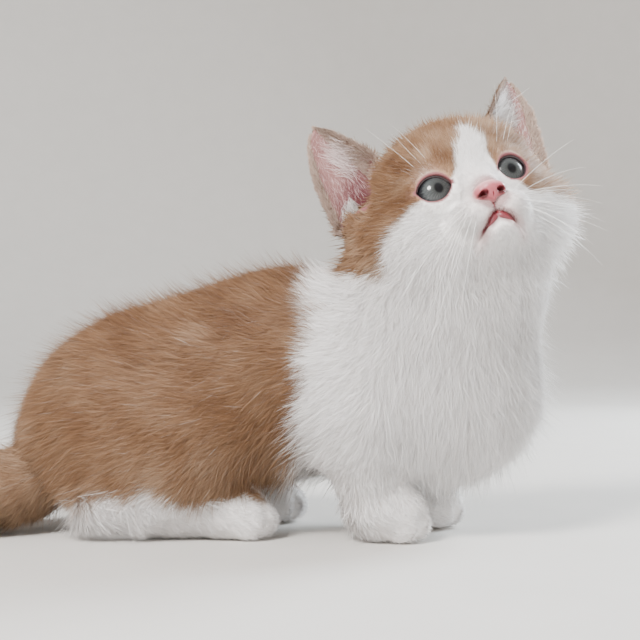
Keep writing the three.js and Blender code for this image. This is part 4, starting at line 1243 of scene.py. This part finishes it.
triangles = np.concatenate([skin_faces[:, (0, 1, 2)], skin_faces[:, (0, 2, 3)]])
triangle_uv = np.concatenate([skin_uv[:, (0, 1, 2)], skin_uv[:, (0, 2, 3)]])
triangle_points = skin_points[triangles]
triangle_sides = triangle_points[:, 1:] - triangle_points[:, :1]
triangle_area = np.linalg.norm(np.cross(triangle_sides[:, 0], triangle_sides[:, 1]), axis=1) / 2
triangle_middle = triangle_points.mean(1)
middle_own = into_head(triangle_middle)
mid_x, mid_y, mid_z = triangle_middle.T
on_head = (triangle_middle - HEAD_CUT_AT) @ HEAD_CUT_UP > 1.0
on_face = on_head & (middle_own[:, 0] > 9) & (middle_own[:, 2] > -30)
low_fore = ~on_head & (mid_z < 26) & (mid_x > 4)
low_hind = ~on_head & (mid_z < 19) & (mid_x > -92) & (mid_x <= 4)
on_tail = ~on_head & (mid_x < -98)
rest = ~(on_head | low_fore | low_hind | on_tail)
chest = rest & (mid_x > 10)
rump = rest & (mid_x <= -42)
flank = rest & ~chest & ~rump
rights = mid_y < 0

# Each piece of the coat: its name, where it grows, its tufts and the triangles in each.
REGIONS = [
    ("coat_face", on_face, 150000, 1),
    ("coat_crown", on_head & ~on_face, 55000, 3),
    ("coat_chest_right", chest & rights, 104000, 1),
    ("coat_chest_left", chest & ~rights, 96000, 1),
    ("coat_flank_right", flank & rights, 97000, 1),
    ("coat_flank_left", flank & ~rights, 86000, 1),
    ("coat_rump_right", rump & rights, 97000, 1),
    ("coat_rump_left", rump & ~rights, 86000, 1),
    ("coat_forelegs", low_fore, 30000, 3),
    ("coat_hind_feet", low_hind, 84000, 1),
    ("coat_tail", on_tail, 82000, 1),
]
SLENDER = 0.84  # how narrow the body's one-triangle tufts are
nose_away = np.where(middle_own[:, 0] > 27, nose_outline(middle_own), FAR)
lip_below = lip_height(middle_own[:, 1]) - middle_own[:, 2]
at_lips = (middle_own[:, 0] > 18) & (np.abs(middle_own[:, 1]) < 8)
lip_reach = 0.9 + 2.5 * eased(5.0, 2.0, np.abs(middle_own[:, 1]))
bare_lip = at_lips & (lip_below > -0.8) & (lip_below < lip_reach)
grows = (eye_opening(middle_own) > 0.6) & (nose_away > 0.5) & ~bare_lip & (mid_z > 1.2)
grows &= (hollow_away(middle_own) > 0.7) | (middle_own[:, 0] > -4.5) | (middle_own[:, 2] < 17.0)
tuft_share = 1.0

at_skin = {
    "coat": coat_at(skin_points),
    "lie": lie_of(skin_points),
    "flush": flush_at(skin_points)[:, None],
    "ginger": skin_ginger[:, None],
    "dark": skin_dark[:, None],
    "normal": skin_normals,
}
for number, (name, region, count, triangles_each) in enumerate(REGIONS):
    draw = np.random.default_rng(100 + number)
    weight = np.cumsum(triangle_area * region * grows)
    picked = np.searchsorted(weight, draw.uniform(0, weight[-1], int(count * tuft_share)))
    share = draw.dirichlet((1.0, 1.0, 1.0), len(picked))[..., None]
    roots = (triangle_points[picked] * share).sum(1)
    uv = (triangle_uv[picked] * share).sum(1)
    here = {key: (value[triangles[picked]] * share).sum(1) for key, value in at_skin.items()}
    coat = here["coat"]
    own = into_head(roots)
    of_head = eased(-2, 6, (roots - HEAD_CUT_AT) @ HEAD_CUT_UP)
    crown = of_head * eased(8, 18, own[:, 2])
    bib = eased(20, 45, roots[:, 0]) * eased(34, 40, roots[:, 2]) * (1 - of_head)
    throat = of_head * eased(-12, -20, own[:, 2]) * eased(26, 18, own[:, 0])
    long_hair = eased(4.5, 9, coat[:, 1])
    mingled = here["ginger"][:, 0] + draw.normal(0, 0.14, len(picked))
    slender = triangles_each == 1 and "face" not in name and "feet" not in name
    values = {
        "length": coat[:, 1] * (1 + 0.1 * bib),
        "width": coat[:, 2] * (SLENDER if slender else 1.0),
        "rise": 0.26 + 0.2 * long_hair + 0.1 * bib + 0.12 * crown,
        "guard": 0.004 + 0.04 * long_hair + 0.035 * crown + 0.02 * throat,
        "ginger": eased(0.12, 0.88, mingled),
        "dark": here["dark"][:, 0],
        "flush": here["flush"][:, 0],
    }
    gather = 0.14 + 0.16 * long_hair[:, None] + 0.14 * throat[:, None]
    normals = unit(here["normal"])
    seed = 200 + number
    piece = tufted(name, roots, normals, here["lie"], uv, values, triangles_each, seed, gather)

# Hair of the ears: short and dense outside, a pale fringe round the rim, and long fine white
# hairs that reach across the open side from its inner edge and the tuft at its root.
BACK_HAIRS = 17000
FRINGE_HAIRS = 9500
REACHING_HAIRS = {-1: 210, 1: 1500}  # by the ear's side
DOWN_HAIRS = 1300
ROOT_HAIRS = 620


def ear_roots(side, u, v, back):
    """Places on the leaf, with its normal and the ways up it and across it there."""
    lift = np.where(back, -ear_thickness(u, v) - EAR_SET_BACK, -EAR_SET_BACK)
    at = ear_point(side, u, v, lift)
    du = ear_point(side, u + 0.01, v, lift) - at
    dv = ear_point(side, u, v + 0.01, lift) - at
    normal = unit(np.cross(du, dv)) * side
    return at, np.where(back[:, None], -normal, normal), unit(dv), unit(du)


for side_name, side in SIDES:
    draw = np.random.default_rng(310 + side)
    u = draw.uniform(-1, 1, BACK_HAIRS)
    v = draw.uniform(-EAR_SUNK, 1, BACK_HAIRS)
    keep = draw.uniform(0, 1, BACK_HAIRS) < np.maximum(1 - v, 0.05) ** 0.6
    u = u[keep]
    v = v[keep]
    at, normal, up, over = ear_roots(side, u, v, np.ones(len(u), bool))
    values = {
        "length": (3.2 + 1.2 * (1 - v)) * (1 - 0.65 * eased(0.55, 1.0, v)),
        "width": np.full(len(u), 0.26),
        "rise": np.full(len(u), 0.22),
        "guard": np.full(len(u), 0.01),
        "ginger": np.full(len(u), 0.95),
        "dark": -0.1 + 0.3 * rippled(at, 9.0, 5),
        "flush": np.zeros(len(u)),
    }
    lie = up + over * (u * 0.35)[:, None]
    piece = tufted(
        "coat_ear_" + side_name, from_head(at), facing(normal), facing(lie), ear_map(u, v, 1),
        values, 3, 320 + side, clump=2.2,
    )
    reaching = REACHING_HAIRS[side]
    rim_side = np.sign(draw.uniform(-1, 1, FRINGE_HAIRS))
    from_rim = draw.uniform(0, 1, FRINGE_HAIRS) ** 1.6 * np.where(rim_side < 0, 0.5, 0.16)
    u = np.concatenate([
        rim_side * (1 - from_rim),
        draw.uniform(-0.95, -0.1, reaching),
        draw.uniform(-0.9, 0.95, DOWN_HAIRS),
        draw.uniform(0.2, 0.62, ROOT_HAIRS),
    ])
    v = np.concatenate([
        draw.uniform(-0.1, 1, FRINGE_HAIRS),
        draw.uniform(0.1, 0.5, reaching),
        draw.uniform(-0.1, 0.92, DOWN_HAIRS),
        draw.uniform(-0.1, 0.16, ROOT_HAIRS),
    ])
    kind = np.repeat([0, 1, 2, 3], [FRINGE_HAIRS, reaching, DOWN_HAIRS, ROOT_HAIRS])
    at, normal, up, over = ear_roots(side, u, v, np.zeros(len(u), bool))
    out = over * np.sign(u)[:, None]
    fringe_lie = up * 0.8 + out * (0.75 * eased(0.72, 0.95, np.abs(u)))[:, None]
    lies = [fringe_lie, up + over * 0.35, up + over * 0.2, over * 0.5 - up * 0.6]
    lie = np.choose(kind[:, None], lies)
    fringe_length = 3.4 * (1 - 0.6 * eased(0.6, 1.0, v))
    lengths = [fringe_length, 12.0 * (1 - 0.4 * v), 4.5 * (1 - 0.5 * v), 5.4]
    values = {
        "length": np.choose(kind, lengths),
        "width": np.choose(kind, [0.24, 0.13, 0.1, 0.18]),
        "rise": np.choose(kind, [0.3, 0.42, 0.22, 0.5]),
        "guard": np.full(len(u), 0.01),
        "ginger": np.choose(kind, [0.75, 0.0, 0.0, 0.0]),
        "dark": np.full(len(u), -0.5),
        "flush": np.choose(kind, [0.1, 0.2 - 0.15 * side, 0.45 - 0.25 * side, 0.0]),
    }
    piece = tufted(
        "inner_hair_" + side_name, from_head(at), facing(normal), facing(lie), ear_map(u, v, 0),
        values, 3, 330 + side, gather=0.2, clump=2.6,
    )

# The whiskers: stiff white bristles in rows on the pads of the muzzle, with a few over each
# eye. Each is rooted deep in the skin and bends a little under its own weight.
# Height, number and length of the bristles in each row.
WHISKER_ROWS = [(-8.6, 2, 34.0), (-10.6, 3, 40.0), (-12.6, 3, 36.0), (-14.6, 3, 28.0)]
WHISKER_RADIUS = 0.055
WHISKER_SUNK = 0.8
BRISTLE_STEPS = 16
BROW_HAIRS = 3
BROW_HEIGHT = 12.5
WHISKER_COLOURS = ((0.86, 0.84, 0.80), (0.95, 0.94, 0.92))
whisker_material, _ = mottled_material("whisker", 0.35, 0.5, 60, 1, WHISKER_COLOURS)


def bristle(y, z, way, length, thick, droop):
    """One bristle from its root in the face, thinning to its tip and bending as it goes."""
    x = muzzle_front(np.array([y]), np.array([z]))[0]
    root = from_head((x - WHISKER_SUNK, y, z))
    way = unit(facing(unit(np.array(way))))
    t = np.linspace(0, 1, BRISTLE_STEPS)[:, None]
    line = root + way * (t * length) + droop * (t * t * length)
    return tube(line, thick * (1 - t[:, 0]) ** 0.7 + 0.01, 5)


for side_name, side in SIDES:
    draw = np.random.default_rng(410 + side)
    strands = []
    for row, (height, number, long) in enumerate(WHISKER_ROWS):
        for n in range(number):
            y = side * (7.8 + 2.3 * n + draw.uniform(-0.4, 0.4))
            z = height - 0.25 * n + draw.uniform(-0.4, 0.4)
            lift = (0.25 if side > 0 else -0.15) - 0.32 * row + draw.uniform(-0.12, 0.12)
            way = (0.35 - 0.22 * n, side * (0.8 + 0.05 * n), lift)
            droop = np.array([-0.1, 0.05, -0.5 if side < 0 else -0.16]) + draw.uniform(-0.08, 0.08, 3)
            long_here = long * draw.uniform(0.6, 1.1)
            strands.append(bristle(y, z, way, long_here, WHISKER_RADIUS, droop))
    for n in range(BROW_HAIRS):
        y = side * (12.5 + 2.2 * n)
        z = BROW_HEIGHT + draw.uniform(-0.6, 0.6)
        way = (0.2, side * (0.35 + 0.1 * n), 0.85)
        droop = draw.uniform(-0.12, 0.12, 3)
        strands.append(bristle(y, z, way, draw.uniform(18, 27), 0.8 * WHISKER_RADIUS, droop))
    starts = np.cumsum([0] + [len(points) for points, _ in strands[:-1]])
    whisker_points = np.concatenate([points for points, _ in strands])
    whisker_faces = np.concatenate([faces + start for (_, faces), start in zip(strands, starts)])
    name = "whiskers_" + side_name
    whiskers = mesh_of(name, whisker_points, whisker_faces, whisker_material)
    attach(whiskers, "root")

# The place it is shown in: a plain pale floor that sweeps up into a soft grey wall far behind,
# with a broad window light from the front left and a cool one from behind.
# Radius and height of the floor and wall, from the middle out.
SWEEP = [
    (0, 0), (600, 0), (1200, 0), (1500, 20), (1750, 100),
    (1950, 280), (2050, 500), (2100, 900), (2100, 2400),
]
SWEEP_SIDES = 64
PAPER_COLOURS = ((0.54, 0.515, 0.485), (0.58, 0.555, 0.525))
floor_material, _ = mottled_material("pale_floor", 0.7, 0.2, 30, 3, PAPER_COLOURS)
sweep_points = []
for radius, height in SWEEP:
    for n in range(SWEEP_SIDES):
        turn = math.tau * n / SWEEP_SIDES
        sweep_points.append((radius * math.cos(turn), radius * math.sin(turn), height))
sweep_faces = ring_strip(len(SWEEP), SWEEP_SIDES)
studio = mesh_of("studio_floor", np.array(sweep_points), sweep_faces, floor_material)

LIT_AT = Vector((0.0, 0.0, 0.08))


def soft_light(name, at, size, power, colour, in_gloss=True):
    """A round soft lamp, in metres and watts, turned to the kitten."""
    lamp = bpy.data.lights.new(name, "AREA")
    lamp.shape = "DISK"
    lamp.size = size
    lamp.energy = power
    lamp.color = colour
    holder = bpy.data.objects.new(name, lamp)
    holder.location = at
    holder.visible_glossy = in_gloss
    holder.rotation_euler = (LIT_AT - Vector(at)).to_track_quat("-Z", "Y").to_euler()
    bpy.context.scene.collection.objects.link(holder)


soft_light("window_light", (-0.45, -1.05, 1.05), 0.5, 56.0, (1.0, 0.985, 0.97))
soft_light("front_fill", (0.9, -1.2, 0.5), 1.0, 9.0, (0.98, 0.99, 1.0), in_gloss=False)
soft_light("back_light", (0.95, 0.75, 0.7), 0.6, 50.0, (0.84, 0.93, 1.0))
world = bpy.data.worlds.new("studio_air")
bpy.context.scene.world = world
world.use_nodes = True
air = world.node_tree.nodes["Background"]
air.inputs["Color"].default_value = (0.93, 0.93, 0.95, 1.0)
air.inputs["Strength"].default_value = 1.0

# The photograph's camera, in millimetres and degrees, with its lens by the picture's pixels.
CAMERA_AT = (57.5, -409.3, 64.0)
CAMERA_TILT = 91.9
CAMERA_TURN = 8.0
FOCAL_PIXELS = 1116
PICTURE_PIXELS = 640
SENSOR = 36
camera = bpy.data.cameras.new("camera")
camera.lens = FOCAL_PIXELS / PICTURE_PIXELS * SENSOR
camera.clip_start = 0.01
camera_holder = bpy.data.objects.new("camera", camera)
camera_holder.location = placed(CAMERA_AT)
camera_holder.rotation_euler = (math.radians(CAMERA_TILT), 0.0, math.radians(CAMERA_TURN))
bpy.context.scene.collection.objects.link(camera_holder)
bpy.context.scene.camera = camera_holder

bpy.context.view_layer.update()
